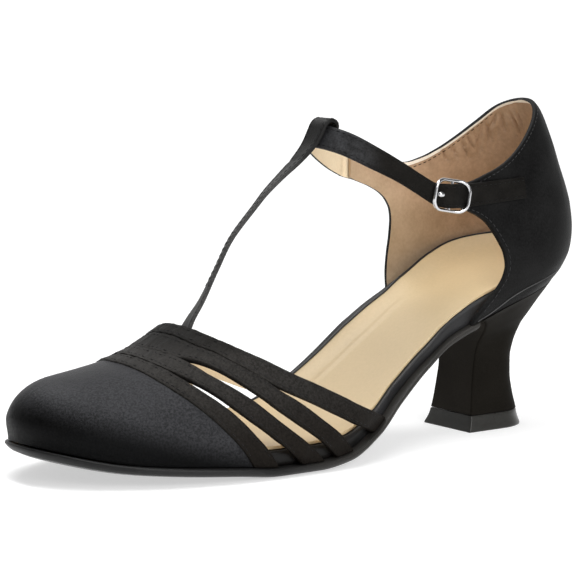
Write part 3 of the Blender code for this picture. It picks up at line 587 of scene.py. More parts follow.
def ring_faces(count, sides, closed=False):
    """Faces between rings of points that follow each other, and from the last to the first if closed."""
    faces = []
    for i in range(count if closed else count - 1):
        here, there = i * sides, (i + 1) % count * sides
        for k in range(sides):
            after = (k + 1) % sides
            faces.append((here + k, here + after, there + after, there + k))
    return faces


def tube(points, radii, closed=False, sides=WIRE_SIDES):
    """Points and faces of a round wire."""
    count = len(points)
    before = np.roll(points, 1, 0) if closed else np.vstack((points[:1], points[:-1]))
    after = np.roll(points, -1, 0) if closed else np.vstack((points[1:], points[-1:]))
    run = unit(after - before)
    off_y = np.abs(run[:, 1:2]) < 0.8
    side = unit(np.where(off_y, np.cross(run, (0.0, 1.0, 0.0)), np.cross(run, (0.0, 0.0, 1.0))))
    top = np.cross(run, side)
    turn = 2 * np.pi * np.arange(sides) / sides
    ring = (points[:, None] + (side[:, None] * np.cos(turn)[:, None] + top[:, None] * np.sin(turn)[:, None])
            * np.asarray(radii)[:, None, None])
    faces = ring_faces(count, sides, closed)
    if not closed:
        faces.append(tuple(reversed(range(sides))))
        faces.append(tuple((count - 1) * sides + k for k in range(sides)))
    return ring.reshape(-1, 3), faces


def joined(parts):
    """Put several sets of points and faces into one."""
    points, faces, base = [], [], 0
    for some, made in parts:
        points.append(some)
        faces += [tuple(k + base for k in face) for face in made]
        base += len(some)
    return np.concatenate(points), faces


def stitches(name, runs, thread, slot, radius):
    """Rows of thread stitches that lie on the surface along the runs of points and normals."""
    along, rise, size = np.array(STITCH_ROWS).T
    parts = []
    for points, normals in runs:
        s = travelled(points)
        for k in range(int((s[-1] - STITCH) / STITCH_PITCH) + 1):
            at = k * STITCH_PITCH + STITCH * along
            line = np.stack([np.interp(at, s, points[:, c]) for c in range(3)], -1)
            lift = np.stack([np.interp(at, s, normals[:, c]) for c in range(3)], -1)
            parts.append(tube(line + lift * (radius * rise)[:, None], radius * size, sides=6))
    points, faces = joined(parts)
    piece(name, points, faces, [thread], slot, sharp=80)


WHITE = (1.0, 1.0, 1.0, 1.0)
WAVE_SCALE = 0.314  # of the wave texture, for one thread to a millimetre


def fill(tree, made, inputs):
    """Fill a node's inputs, by place or name: sockets are linked to them and other values set."""
    for key, value in inputs.items():
        socket = made.inputs[key.replace("_", " ") if isinstance(key, str) else key]
        if isinstance(value, bpy.types.NodeSocket):
            tree.links.new(value, socket)
        else:
            socket.default_value = value


def node(tree, kind, *inputs, operation=None, **named):
    """New shader node with its inputs in order or by name."""
    made = tree.nodes.new("ShaderNode" + kind)
    if operation:
        made.operation = operation
    fill(tree, made, {**dict(enumerate(inputs)), **named})
    return made


def look(name, dark, light, roughness, specular=0.5, tint=WHITE, grain=1.2, relief=0.02, thread=0.0,
         weave=0.0, patch=0.06, cloud=0.5, spread=0.08, blur=0.2, fade=None, **sockets):
    """Procedural finish. relief and weave are the depths of the grain and the thread, in millimetres.

    grain, thread and patch are counts per millimetre. cloud is the share of the broad patches in the mix
    that picks the colour, and blur the half width of its step from dark to light. fade gives a direction,
    two places along it in metres and the dark and light colours past the second; most looks use it to
    paint light and shade into the colour.
    """
    made = bpy.data.materials.new(name)
    made.use_nodes = True
    tree = made.node_tree
    coords = node(tree, "TexCoord").outputs
    fine = node(tree, "TexNoise", coords["Object"], Scale=grain * PER_MM, Detail=3.0, Roughness=0.6)
    broad = node(tree, "TexNoise", coords["Object"], Scale=patch * PER_MM, Detail=2.0)
    weighed = node(tree, "Math", fine.outputs["Fac"], 1.0 - cloud, operation="MULTIPLY")
    mixed = node(tree, "Math", broad.outputs["Fac"], cloud, weighed.outputs[0], operation="MULTIPLY_ADD")

    def shades(*pair):
        ramp = node(tree, "ValToRGB", mixed.outputs[0])
        for stop, at, shade in zip(ramp.color_ramp.elements, (0.5 - blur, 0.5 + blur), pair):
            stop.position = at
            stop.color = (*shade, 1.0)
        return ramp.outputs["Color"]

    colour = shades(dark, light)
    if fade:
        direction, start, stop, far_dark, far_light = fade
        place = node(tree, "VectorMath", coords["Object"], direction, operation="DOT_PRODUCT")
        share = node(tree, "MapRange", Value=place.outputs["Value"], From_Min=start, From_Max=stop)
        share.interpolation_type = "SMOOTHSTEP"
        blend = node(tree, "MixRGB", share.outputs["Result"], colour, shades(far_dark, far_light))
        colour = blend.outputs["Color"]
    gloss = node(tree, "MapRange", Value=mixed.outputs[0], From_Min=0.25, From_Max=0.75,
                 To_Min=roughness - spread, To_Max=roughness + spread)
    bump = node(tree, "Bump", Strength=1.0, Distance=relief * MM, Height=fine.outputs["Fac"])
    for direction in ("X", "Y") if thread else ():
        wave = node(tree, "TexWave", coords["UV"], Scale=WAVE_SCALE * thread, Distortion=1.5, Detail=2.0,
                    Detail_Scale=2.0)
        wave.bands_direction = direction
        bump = node(tree, "Bump", Strength=1.0, Distance=weave * MM, Height=wave.outputs["Fac"],
                    Normal=bump.outputs["Normal"])
    if "Anisotropic" in sockets:
        tangent = node(tree, "Tangent")
        tangent.direction_type = "UV_MAP"
        tangent.uv_map = "weave"
        sockets["Tangent"] = tangent.outputs["Tangent"]
    fill(tree, tree.nodes["Principled BSDF"], {
        "Base Color": colour, "Roughness": gloss.outputs["Result"], "Normal": bump.outputs["Normal"],
        "Specular IOR Level": specular, "Specular Tint": tint, **sockets})
    return made


def grey(value, blue=1.0):
    return (value, value, value * blue)


COOL = (0.94, 0.97, 1.0, 1.0)
WARM = (1.0, 0.93, 0.84, 1.0)
UP, DOWN = (0.0, 0.0, 1.0), (0.0, 0.0, -1.0)
FORWARD, BACKWARD = (1.0, 0.0, 0.0), (-1.0, 0.0, 0.0)
# Painted sheen and shade: the lighter colours over the upper toe stand in for the satin's sheen band, and
# the fade paints shade darker towards the sole, reaching higher near the tip
TOE_SATIN = look(
    "toe_satin", grey(0.014, 1.08), grey(0.034, 1.08), 0.42, specular=0.07, tint=COOL, grain=1.3,
    relief=0.12, thread=2.2, weave=0.014, cloud=0.15, spread=0.12, blur=0.1, Anisotropic=0.5,
    fade=((0.34, 0.0, -1.0), 0.0046, 0.0166, grey(0.001), grey(0.003)))


def strap_look(name, fade):
    return look(
        name, (0.010, 0.0095, 0.009), (0.028, 0.0262, 0.0246), 0.52, specular=0.06, tint=WARM, grain=1.3,
        relief=0.12, thread=1.8, weave=0.02, patch=0.3, cloud=0.2, spread=0.1, blur=0.13, fade=fade)


# Painted shade: the strap satin turns darker towards the sole
STRAP_SATIN = strap_look(
    "strap_satin", (DOWN, -0.036, -0.010, (0.006, 0.005, 0.0042), (0.012, 0.010, 0.0084)))
# Copy of the strap satin with painted shade: the tops of the straps over the instep are darker where the
# overhead lamp falls on them
STRAP_TOP_SHADE = strap_look(
    "strap_top_painted_shade", (UP, 0.040, 0.047, (0.001, 0.001, 0.0009), (0.005, 0.0046, 0.004)))
# Painted sheen and shade: the shaft is lighter than the other satins for the sheen on it, and the fade
# paints the loop over the ankle strap darker
T_SATIN = look(
    "t_strap_satin", (0.016, 0.0155, 0.015), (0.054, 0.053, 0.052), 0.52, specular=0.2, grain=1.5,
    relief=0.09, thread=1.8, weave=0.02, patch=0.3, cloud=0.25, blur=0.15,
    fade=(UP, 0.096, 0.110, (0.001, 0.0009, 0.0008), (0.006, 0.0057, 0.0053)))
# Painted sheen: the ankle strap turns lighter and bluish near the loop of the T-strap
BAND_SATIN = look(
    "band_satin", (0.0012, 0.0011, 0.001), (0.0068, 0.0064, 0.0058), 0.6, specular=0.1, tint=WARM,
    grain=1.3, relief=0.08, thread=2.0, weave=0.02, patch=0.2, blur=0.14,
    fade=(FORWARD, -0.021, -0.011, (0.012, 0.0122, 0.013), (0.038, 0.039, 0.042)))
QUARTER_SATIN = look(
    "quarter_satin", grey(0.002), grey(0.0095), 0.5, specular=0.07, relief=0.05, thread=2.2, weave=0.015,
    blur=0.14)
HEEL_SATIN = look(
    "heel_satin", (0.0072, 0.0063, 0.0051), (0.0130, 0.0116, 0.0095), 0.5, specular=0.012, tint=WARM,
    grain=1.6)
# Lighter copy of the heel satin for the breast: painted light on its shaded front face
HEEL_BREAST_LIGHT = look(
    "heel_breast_painted_light", (0.015, 0.013, 0.0106), (0.025, 0.022, 0.0182), 0.5, specular=0.02, tint=WARM,
    grain=1.6)
# Painted sheen: the wrap is lighter and bluish at the shank and seat; the fade gives the darker colours
# from the ball to the toe
WRAP = look(
    "insole_wrap", grey(0.014), grey(0.028, 1.06), 0.4, specular=0.22, grain=1.5,
    fade=(FORWARD, -0.006, 0.014, (0.003, 0.0026, 0.0022), (0.008, 0.007, 0.006)))
# Painted highlight: the edge turns lighter from the ball back to the heel breast
OUTSOLE = look(
    "outsole_edge", grey(0.006), grey(0.013), 0.45, specular=0.18, grain=2.0, relief=0.03,
    fade=(BACKWARD, -0.050, 0.0, (0.018, 0.017, 0.0155), (0.034, 0.032, 0.029)))
OUTSOLE_NAP = look("outsole_nap", grey(0.03), grey(0.07), 0.9, grain=2.5, relief=0.15, Sheen_Weight=0.4)
RUBBER = look(
    "lift_rubber", (0.022, 0.0215, 0.0195), (0.036, 0.035, 0.032), 0.32, specular=0.4, grain=1.0)
# Painted light: the sock turns lighter towards the seat, making up for the shade under the heel cup
SOCK_TAN = look(
    "sock_tan", (0.42, 0.32, 0.18), (0.50, 0.385, 0.225), 0.5, grain=0.9, patch=0.02,
    fade=(BACKWARD, 0.048, 0.080, (0.55, 0.42, 0.24), (0.64, 0.49, 0.285)))
# Painted light: the lining turns lighter and greyer towards the lower front of the heel cup
LINING = look(
    "lining_taupe", (0.32, 0.202, 0.117), (0.435, 0.283, 0.174), 0.6, grain=0.8, relief=0.1, patch=0.12,
    blur=0.13, fade=((0.6, 0.0, -0.8), -0.125, -0.092, (0.395, 0.282, 0.174), (0.47, 0.342, 0.222)))
STRAP_LINING = look("strap_lining", (0.70, 0.56, 0.38), (0.82, 0.69, 0.49), 0.6, relief=0.04)
CREAM = look("cream_binding", (0.82, 0.74, 0.62), (0.92, 0.85, 0.74), 0.6, grain=1.5, relief=0.03)
# Cord along the seam over the heel; its grey, lighter than the satin beside it, is a painted highlight
SEAM = look("seam_with_painted_highlight", grey(0.022), grey(0.045), 0.5, grain=2.0, relief=0.03)
CHROME = look("chrome", grey(0.52, 1.02), grey(0.62, 1.02), 0.17, grain=0.8, relief=0.004,
              spread=0.04, Metallic=1.0)


def thread_look(name, dark, light, **sockets):
    return look(name, dark, light, 0.6, grain=4.0, relief=0.03, **sockets)


THREAD = thread_look("grey_thread", grey(0.003, 1.25), grey(0.008, 1.25))
DULL_THREAD = thread_look("dull_thread", grey(0.007), grey(0.016, 1.05), specular=0.12)
BLACK_THREAD = thread_look("black_thread", grey(0.002), grey(0.008), specular=0.1)


def join_depth(k, gap):
    """Depth of the groove in front of strap k: shallow where the next strap is sewn to it."""
    return JOIN_DEPTH[k] + (1 - JOIN_DEPTH[k]) * smooth(gap / JOIN_FADE)


def gathers(base, around):
    """Small puckers across the straps, deepest where they meet on the instep."""
    place = travelled(base, 1)
    strap = (np.arange(len(base)) // len(STRAP_SHARES))[:, None]
    waves = sum(size * np.sin(2 * np.pi * place / length + strap * turn + base[..., 0] * slant)
                for size, length, turn, slant in PUCKERS)
    depth = PUCKER_LEAST + (1 - PUCKER_LEAST) * np.exp(-(around / PUCKER_REACH)**4)
    return waves * depth * smooth((1 - np.abs(around)) / PUCKER_END)


def vamp():
    around = np.linspace(-1.0, 1.0, VAMP_COLUMNS)
    edges = [strap_place(column, around) for column in range(1, 9)]
    x, step, straps = [], [], []
    for k in range(4):
        back, front = edges[2 * k], edges[2 * k + 1]
        behind, ahead = 1.0, 1.0
        if k > 0:
            behind = join_depth(k - 1, back - edges[2 * k - 1])
        if k < 3:
            ahead = join_depth(k, edges[2 * k + 2] - front)
        width = front - back
        for share in STRAP_SHARES:
            x.append(back + width * share)
            drop = np.maximum(behind * roll(width * share), ahead * roll(width * (1 - share)))
            step.append(STRAP_STEPS[k] - drop)
            straps.append(True)
    for i in range(TOE_STATIONS + 1):
        u = 1 - (1 - i / TOE_STATIONS)**2
        x.append(edges[7] + (VAMP_TIP - edges[7]) * u)
        step.append(np.full(VAMP_COLUMNS, TOE_STEP))
        straps.append(False)
    x, step = np.array(x), np.array(step)
    around = np.repeat(around[None], len(x), 0)
    base = vamp_point(x, around)
    normal = vamp_normal(x, around)
    step -= trough(base, TOE_CREASE, *TOE_CREASE_FORM) - trough(base, STRAP_HUMP, *STRAP_HUMP_FORM)
    size = len(STRAP_SHARES)
    step[:4 * size] += gathers(base, around)[:4 * size]
    outer = base + normal * step[..., None]
    inner = base - normal * WALL
    foot = np.abs(around) > 1 - 1e-9
    outer[foot, 2] = base[foot, 2]
    inner[foot, 2] = base[foot, 2]
    holes = np.zeros((len(x) - 1, VAMP_COLUMNS - 1), bool)
    for k in (1, 2, 3):
        open_at = x[k * size] - x[k * size - 1] > 0.01
        holes[k * size - 1] = open_at[1:] | open_at[:-1]
    # Strap faces above that height take the copy with painted shade on top
    satin = np.where(base[..., 2] > STRAP_TOP_START, 3, 1)
    tags = np.where(np.array(straps)[:-1, None], satin[:-1, :-1], 0)
    looks = [TOE_SATIN, STRAP_SATIN, STRAP_LINING, STRAP_TOP_SHADE]
    wall("vamp_upper", (outer, inner), looks, tags, 2, satin.ravel(), holes, replaces=("vamp",),
         slot="vamp_satin")


def quarter():
    half = np.concatenate((np.linspace(0.0, COLUMNS_END, QUARTER_COLUMNS), FRONT_RIM))
    around = np.concatenate((-half[:0:-1], half))
    share = np.concatenate((np.linspace(0.0, LEVELS_END, QUARTER_LEVELS), TOP_RIM))
    around, share = np.meshgrid(around, share)
    base = quarter_point(around, share)
    normal = quarter_normal(around, share)
    side = np.where(around >= 0, 1.0, -1.0)
    above = (1 - share) * (topline(base[..., 0], side) - feather(base[..., 0]))
    ahead = quarter_front(share, side) - base[..., 0]
    rolled = roll(np.minimum(above, ahead))
    outer = base - normal * rolled[..., None]
    inner = base - normal * QUARTER_WALL
    folds = sum(trough(inner, line, *FOLD_RIDGE) - trough(inner, line, *FOLD_SIDES)
                for line in LINING_FOLDS)
    inner += normal * folds[..., None]
    inner[0, :, 2] = base[0, :, 2]
    wing = (share > WING_START) & (side < 0)
    inside = np.where(above[1:, 1:] < BINDING, 2, 1)
    rim = np.where(wing & (ahead < 0.1) & (above > 0.5), 1, 0).ravel()
    wall("quarter_upper", (outer, inner), [QUARTER_SATIN, LINING, CREAM], 0, inside, rim,
         replaces=("quarter",), slot="quarter_satin")


def quarter_run(x, share, side, depth=0.0):
    """Points and normals of a run on the heel cup, or that far inside it."""
    back = table(QUARTER_ROWS, 1, share)
    along = np.clip((x - back) / (quarter_front(share, side) - back), 0.0, 1.0)
    around = side * along**(1 / COLUMN_POWER)
    normal = quarter_normal(around, share)
    points = quarter_point(around, share) - normal * depth
    return points, -normal if depth else normal


def quarter_sewing():
    outside, inside, seam = [], [], []
    for side in (-1.0, 1.0):
        x = np.linspace(SEWING_START, SEWING_ENDS[side], 120)
        height = topline(x, side) - feather(x) - GAP
        outside.append(quarter_run(x, 1 - STITCH_MARGIN / height, side))
        lined = x < LINING_SEWING_END
        inside.append(quarter_run(x[lined], 1 - LINING_MARGIN / height[lined], side, QUARTER_WALL))
        share = np.linspace(*FRONT_SEWING, 80)
        outside.append(quarter_run(quarter_front(share, side) - FRONT_MARGIN, share, side))
        x = np.linspace(SEAM_ROWS[0][0], SEAM_ROWS[-1][0], 60)
        rise = table(SEAM_ROWS, 1, x)
        points, normal = quarter_run(x, rise / (topline(x, side) - feather(x) - GAP), side)
        seam.append(tube(points + normal * SEAM_LIFT, [SEAM_WIRE] * len(points), sides=8))
    stitches("quarter_stitches", outside, THREAD, "quarter_satin", radius=0.16)
    stitches("lining_stitches", inside, BLACK_THREAD, "quarter_satin", radius=0.17)
    points, faces = joined(seam)
    # The seam cord takes the grey with the painted highlight
    piece("heel_seam", points, faces, [SEAM], "quarter_satin", sharp=80)


def strap_sewing():
    around = np.linspace(*STRAP_SEWING, 240)
    runs = []
    for k in range(4):
        lift = STRAP_STEPS[k] - THREAD_SINK
        for column, margin in ((2 * k + 1, STITCH_MARGIN), (2 * k + 2, -STITCH_MARGIN)):
            place = strap_place(column, around) + margin
            normal = vamp_normal(place, around)
            runs.append((vamp_point(place, around) + normal * lift, normal))
    stitches("strap_stitches", runs, DULL_THREAD, "vamp_satin", radius=0.14)


def band_run(rows):
    """Directions along a strap's route."""
    middle = rows[:, :3]
    return unit(np.vstack((middle[1:], middle[-1:])) - np.vstack((middle[:1], middle[:-1])))


def band_grid(rows, across):
    """Points over the width of a strap along its route, and how far each is from the nearer edge."""
    width = rows[:, 3:4]
    points = rows[:, None, :3] + across[:, None] * (width * BAND_SHARES)[..., None]
    return points, (0.5 - np.abs(BAND_SHARES)) * width


def edge_runs(outer, out, width, start=0):
    """Runs near both edges of a strap, on its outer face, from one of its rows on."""
    runs = []
    for sign in (-1, 1):
        at = sign * (0.5 - BAND_MARGIN / width)
        points = [[np.interp(place, BAND_SHARES, values) for values in line.T]
                  for place, line in zip(at, outer)]
        runs.append((np.array(points)[start:], out[start:]))
    return runs


def t_strap():
    rows = route(T_STRAP_ROWS, 1.0)
    run = band_run(rows)
    turn = np.radians(rows[:, 4])
    across = np.stack((np.sin(turn), np.cos(turn), np.zeros(len(rows))), -1)
    across = unit(across - run * np.sum(across * run, 1, keepdims=True))
    out = np.cross(across, run)
    line, margin = band_grid(rows, across)
    t = np.linspace(0.0, 1.0, len(rows))[:, None]
    sway = T_FOLD_SWAY * np.sin(T_FOLD_TURN * t + 0.5)
    fold = T_FOLD * np.exp(-((BAND_SHARES - sway) / T_FOLD_WIDTH)**2)
    fold *= np.sin(np.pi * np.clip(t / T_FOLD_END, 0, 1))
    place = T_CREASE_PLACE + T_CREASE_SLANT * BAND_SHARES
    fold += T_CREASE * np.exp(-((t - place) / T_CREASE_WIDTH)**2)
    outer = line + out[:, None] * (T_STRAP / 2 - roll(margin) - fold)[..., None]
    inner = line - out[:, None] * (T_STRAP / 2)
    runs = edge_runs(outer, out, rows[:, 3], T_SEWING_START)
    stitches("t_strap_stitches", runs, DULL_THREAD, "t_strap_satin", radius=0.13)
    inside = np.where(t[1:] < T_LINING_END, 1, 0)
    wall("t_strap_band", (outer, inner), [T_SATIN, STRAP_LINING], 0, inside, 0, replaces=("t_strap",),
         slot="t_strap_satin")


def seated(points):
    """Move points of the ankle strap's inner face out to where they clear the heel cup."""
    side = np.where(points[..., 1] > 0, 1.0, -1.0)
    on_cup = points[..., 0] <= np.where(side > 0, OUTER_SEAT_END, INNER_SEAT_END)
    clear = quarter_half(points[..., 0], points[..., 2], side) + GAP
    moved = points.copy()
    moved[..., 1] = np.where(on_cup, side * np.maximum(np.abs(points[..., 1]), clear), points[..., 1])
    return moved


def ankle_strap():
    rows = route(ANKLE_ROWS, 1.0)
    run = band_run(rows)
    flat = unit(np.stack((run[:, 1], -run[:, 0], np.zeros(len(rows))), -1))
    up = unit(np.cross(run, flat))
    up = np.where(up[:, 2:] < 0, -up, up)
    lean = np.radians(rows[:, 4])[:, None]
    up, flat = up * np.cos(lean) - flat * np.sin(lean), flat * np.cos(lean) + up * np.sin(lean)
    line, margin = band_grid(rows, up)
    inner = seated(line)
    near_loop = np.exp(-((rows[:, :1] - LOOP_PLACE) / LOOP_REACH)**2) * (rows[:, 1:2] > 0)
    fold = sum(depth * np.exp(-((BAND_SHARES - at) / wide)**2) for depth, at, wide in ANKLE_FOLDS)
    outer = inner + flat[:, None] * (ANKLE - roll(margin) - near_loop * fold)[..., None]
    low, high = np.minimum(rows[1:, 0], rows[:-1, 0]), np.maximum(rows[1:, 0], rows[:-1, 0])
    there = (rows[1:, 1] > 0) & (low > HOLE_BACK - 0.2) & (high < HOLE_FRONT + 0.2)
    middle = (BAND_SHARES[1:] <= HOLE_SHARE + 1e-6) & (BAND_SHARES[:-1] >= -HOLE_SHARE - 1e-6)
    holes = there[:, None] & middle[None]
    runs = edge_runs(outer, flat, rows[:, 3])
    stitches("ankle_strap_stitches", runs, BLACK_THREAD, "ankle_strap_satin", radius=0.13)
    wall("ankle_strap_band", (outer, inner), [BAND_SATIN, STRAP_LINING], 0, 1, 0, holes,
         replaces=("ankle_strap",), slot="ankle_strap_satin")


def sock_line(x, y):
    """Low ridge along the sock, where a pad under it ends."""
    start, stop = PAD_ENDS
    ridge = PAD_RIDGE * np.exp(-((y - PAD_SIDE) / PAD_WIDTH)**2)
    return ridge * smooth((x - start) / PAD_FADE) * smooth((stop - x) / PAD_FADE)


def sock_ends(inset, share):
    return insole_ends(SOCK_ROWS[0][1] + inset, 1)[0], insole_ends(SOCK_ROWS[-1][1] + inset, 1)[1]


def sock_edge(x, side, inset, share):
    return insole_edge(x, side, table(SOCK_ROWS, 1 if side > 0 else 2, x) + inset, 1)


def sock_edging():
    """Black edge of the wrap along the inner side of the sock, thinner towards the back."""
    shy = 0.1
    x = np.linspace(*EDGING_ENDS, 140)
    y = sock_edge(x, -1, shy, 1)
    z = insole_high(x, y) + GAP + SOCK + shy
    start, reach = EDGING_FADE
    least, growth = EDGING_WIRE
    points, faces = tube(np.stack((x, y, z), -1), least + growth * smooth((x - start) / reach), sides=10)
    piece("sock_edging", points, faces, [WRAP], "insole_satin", sharp=80)


def soles():
    slab("outsole_sheet", lambda inset, share: (OUTSOLE_BACK, LENGTH - inset),
         lambda x, side, inset, share: sole_edge(x, side, inset),
         lambda x, y, share: underside(x) + (feather(x) - underside(x)) * share,
         SOLE_EDGE, [OUTSOLE, OUTSOLE_NAP], below=1, replaces=("outsole",), slot="outsole_leather")
    slab("insole_board", insole_ends, insole_edge,
         lambda x, y, share: insole_low(x) + (insole_high(x, y) - insole_low(x)) * share,
         INSOLE_EDGE, [WRAP], replaces=("insole",), slot="insole_satin")
    slab("sock_sheet", sock_ends, sock_edge,
         lambda x, y, share: insole_high(x, y) + GAP + share * (SOCK + sock_line(x, y)),
         SOCK_EDGE, [SOCK_TAN], replaces=("sock",), slot="tan_sock")


def heel_ring(front, back, half, reach, corner):
    """One section of the heel: from the middle of its front round the outer side, back and inner side."""
    reach = min(reach, front - back - corner)
    turn = np.linspace(0.0, np.pi / 2, 6)
    x = [np.full(FRONT_POINTS, front), front - corner * (1 - np.cos(turn))]
    y = [np.linspace(0.0, half - corner, FRONT_POINTS, endpoint=False), half - corner * (1 - np.sin(turn))]
    x.append(np.linspace(front - corner, back + reach, 10)[1:-1])
    y.append(np.full(8, half))
    turn = np.linspace(0.0, np.pi / 2, 25)
    x.append(back + reach * (1 - np.sin(turn)**(2 / SEAT_POWER)))
    y.append(half * np.clip(np.cos(turn), 0.0, None)**(2 / SEAT_POWER))
    x, y = np.concatenate(x), np.concatenate(y)
    return np.concatenate((x, x[-2:0:-1])), np.concatenate((y, -y[-2:0:-1]))


def loft(name, rings, looks, tag_of, **how):
    """Closed piece over sections. tag_of gives a face's look by its place from the middle of the front."""
    size = len(rings[0])
    points = np.concatenate(rings)
    faces = ring_faces(len(rings), size)
    tags = [tag_of(min(i, size - 1 - i)) for i in range(size)] * (len(rings) - 1)
    for base in (0, (len(rings) - 1) * size):
        for i in range(size // 2):
            faces.append((base + i, base + i + 1, base + size - 1 - i, base + (size - i) % size))
            tags.append(0)
    piece(name, points, faces, looks, tags=tags, **how)


def heel():
    floor = LIFT + GAP
    rings = []
    for share in np.linspace(0.0, 1.0, HEEL_LEVELS + 1):
        front, back, half = (float(table(HEEL_ROWS, column, share)) for column in (1, 2, 3))
        tight = HEEL_ROUND * half
        reach = tight + (SEAT_ROUND - tight) * float(smooth((share - SEAT_BLEND) / (1 - SEAT_BLEND)))
        x, y = heel_ring(front, back, half, reach, HEEL_CORNER)
        rings.append(np.stack((x, y, floor + (feather(x) - floor) * share), -1))
    # The breast's faces take the copy with painted light
    loft("heel_block", rings, [HEEL_SATIN, HEEL_BREAST_LIGHT], lambda place: 1 if place < FRONT_POINTS else 0,
         replaces=("heel",), slot="heel_satin")
    head = HEEL_ROWS[0][1:]
    low, high = LIFT_LEVELS[2], LIFT_LEVELS[-2]
    rings = []
    for share in LIFT_LEVELS:
        blend = 1 - (1 - share)**LIFT_FLARE
        front, back, half = (foot + (top - foot) * blend for foot, top in zip(LIFT_FOOT, head))
        ends = max(0.0, 1 - share / low)**2 + max(0.0, (share - high) / (1 - high))**2
        shy = LIFT_ROUND * ends
        x, y = heel_ring(front - shy, back + shy, half - shy, HEEL_ROUND * half, LIFT_CORNER)
        rings.append(np.stack((x, y, np.full(len(x), LIFT * share)), -1))
    loft("lift_block", rings, [RUBBER], lambda place: 0, replaces=("top_lift",), slot="lift_rubber")


def buckle():
    level = float(quarter_half(BUCKLE_PLACE, BUCKLE_HEIGHT, 1)) + GAP + BUCKLE_BAR
    middle = np.array((BUCKLE_PLACE, level, BUCKLE_HEIGHT))
    along = unit(np.array(BUCKLE_RUN))
    up = unit(np.array((0.0, 0.0, 1.0)) - along * along[2])
    out = np.cross(up, along)
    places = []
    for corner, (a_sign, b_sign) in enumerate(((1, 1), (-1, 1), (-1, -1), (1, -1))):
        turn = np.pi / 2 * (corner + np.linspace(0.0, 1.0, 9))
        places += list(zip(a_sign * (BUCKLE_HALF_LENGTH - BUCKLE_CORNER) + BUCKLE_CORNER * np.cos(turn),
                           b_sign * (BUCKLE_HALF_HEIGHT - BUCKLE_CORNER) + BUCKLE_CORNER * np.sin(turn)))
        if a_sign == b_sign:
            straight = np.linspace(BUCKLE_STRAIGHT, -BUCKLE_STRAIGHT, 9)
            places += [(a_sign * a, b_sign * BUCKLE_HALF_HEIGHT) for a in straight]
    path = np.array([middle + along * a + up * b + out * (BUCKLE_BOW * (a / BUCKLE_HALF_LENGTH)**2)
                     for a, b in places])
    bar = np.array([middle - up * BUCKLE_HALF_HEIGHT, middle + up * BUCKLE_HALF_HEIGHT])
    frame_tube = tube(path, [BUCKLE_WIRE] * len(path), closed=True)
    points, faces = joined((frame_tube, tube(bar, [BUCKLE_BAR] * 2)))
    piece("buckle_wire", points, faces, [CHROME], "buckle_chrome", replaces=("buckle_frame",))
    rows = route(PRONG_ROWS, 0.2)
    points, faces = tube(middle + along * rows[:, :1] + out * rows[:, 1:2], rows[:, 2])
    piece("buckle_pin", points, faces, [CHROME], "prong_chrome", replaces=("buckle_prong",))


# Camera: turn round the shoe, tilt and roll in radians, distance and aim in millimetres
CAMERA_TURN = 0.60898
CAMERA_TILT = 0.13138
CAMERA_ROLL = -0.00747
CAMERA_DISTANCE = 932.4
CAMERA_AIM = (126.02, 0.21, 59.60)
CAMERA_LENS = 161.23

# Studio, in metres: reach of the floor and its glow, direction and strength of the pale surroundings
FLOOR_REACH = 14.0
FLOOR_GLOW = {"From_Min": 0.3, "From_Max": 1.6, "To_Min": 0.52, "To_Max": 0.9}
SKY_SIDE = (-0.572, -0.820, 0.0)
SKY_GLOW = {"From_Min": 0.2, "From_Max": 0.9, "To_Min": 0.12, "To_Max": 1.05}


def aimed(made, place, right, up, back):
    made.matrix_world = Matrix.Translation(place) @ Matrix((right, up, back)).transposed().to_4x4()


def camera():
    level = math.cos(CAMERA_TILT)
    back = Vector((math.sin(CAMERA_TURN) * level, math.cos(CAMERA_TURN) * level, math.sin(CAMERA_TILT)))
    right = Vector((0.0, 0.0, 1.0)).cross(back).normalized()
    up = back.cross(right)
    tilted_right = right * math.cos(CAMERA_ROLL) + up * math.sin(CAMERA_ROLL)
    tilted_up = up * math.cos(CAMERA_ROLL) - right * math.sin(CAMERA_ROLL)
    place = (Vector(CAMERA_AIM) + back * CAMERA_DISTANCE - Vector(ORIGIN)) * MM
    data = bpy.data.cameras.new("camera")
    data.lens = CAMERA_LENS
    data.sensor_width = 36.0
    data.clip_start = 0.01
    made = placed("camera", data)
    aimed(made, place, tilted_right, tilted_up, back)
    bpy.context.scene.camera = made


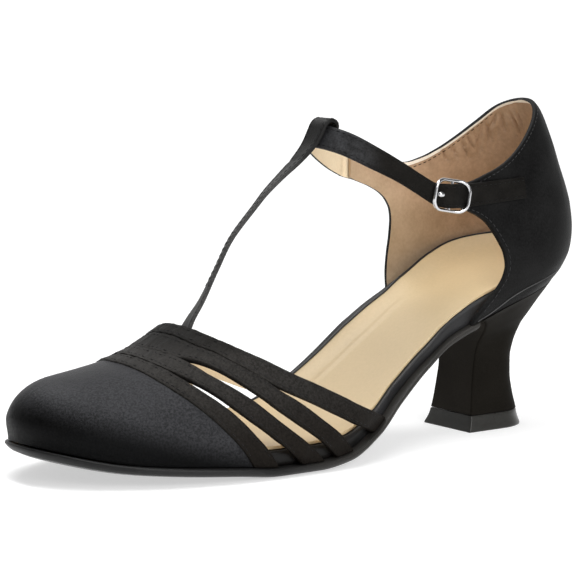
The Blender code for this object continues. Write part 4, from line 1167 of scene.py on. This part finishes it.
def lamp(name, place, aim, size, power, length_along=(0.0, 1.0, 0.0)):
    """Soft box that shines from its place to its aim. The first size lies along the given direction."""
    data = bpy.data.lights.new(name, "AREA")
    data.shape = "RECTANGLE"
    data.size, data.size_y = size
    data.energy = power
    back = (Vector(place) - Vector(aim)).normalized()
    side = (Vector(length_along) - back * back.dot(Vector(length_along))).normalized()
    aimed(placed(name, data), place, side, back.cross(side), back)


def floor():
    mesh = bpy.data.meshes.new("floor")
    signs = ((-1, -1), (1, -1), (1, 1), (-1, 1))
    corners = [(a * FLOOR_REACH, b * FLOOR_REACH, 0.0) for a, b in signs]
    mesh.from_pydata(corners, [], [(0, 1, 2, 3)])
    pale = look("pale_floor", grey(0.55), grey(0.57), 0.9, grain=0.3, Emission_Color=WHITE)
    tree = pale.node_tree
    coords = node(tree, "TexCoord")
    away = node(tree, "VectorMath", coords.outputs["Object"], operation="LENGTH")
    glow = node(tree, "MapRange", Value=away.outputs["Value"], **FLOOR_GLOW)
    fill(tree, tree.nodes["Principled BSDF"], {"Emission Strength": glow.outputs["Result"]})
    mesh.materials.append(pale)
    placed("floor", mesh)


def studio():
    world = bpy.data.worlds.new("studio")
    world.use_nodes = True
    tree = world.node_tree
    coords = node(tree, "TexCoord")
    facing = node(tree, "VectorMath", coords.outputs["Generated"], SKY_SIDE, operation="DOT_PRODUCT")
    fade = node(tree, "MapRange", Value=facing.outputs["Value"], **SKY_GLOW)
    fill(tree, tree.nodes["Background"], {"Color": WHITE, "Strength": fade.outputs["Result"]})
    bpy.context.scene.world = world
    lamp("overhead", (0.12, -0.05, 0.95), (0.08, 0.0, 0.03), (1.5, 0.3), 13.0)
    lamp("side", (0.05, 1.0, 0.55), (0.03, 0.0, 0.05), (0.9, 0.5), 8.0, (1.0, 0.0, 0.0))
    bpy.context.scene.view_settings.view_transform = "Standard"


vamp()
strap_sewing()
quarter()
quarter_sewing()
t_strap()
ankle_strap()
soles()
sock_edging()
heel()
buckle()
camera()
floor()
studio()
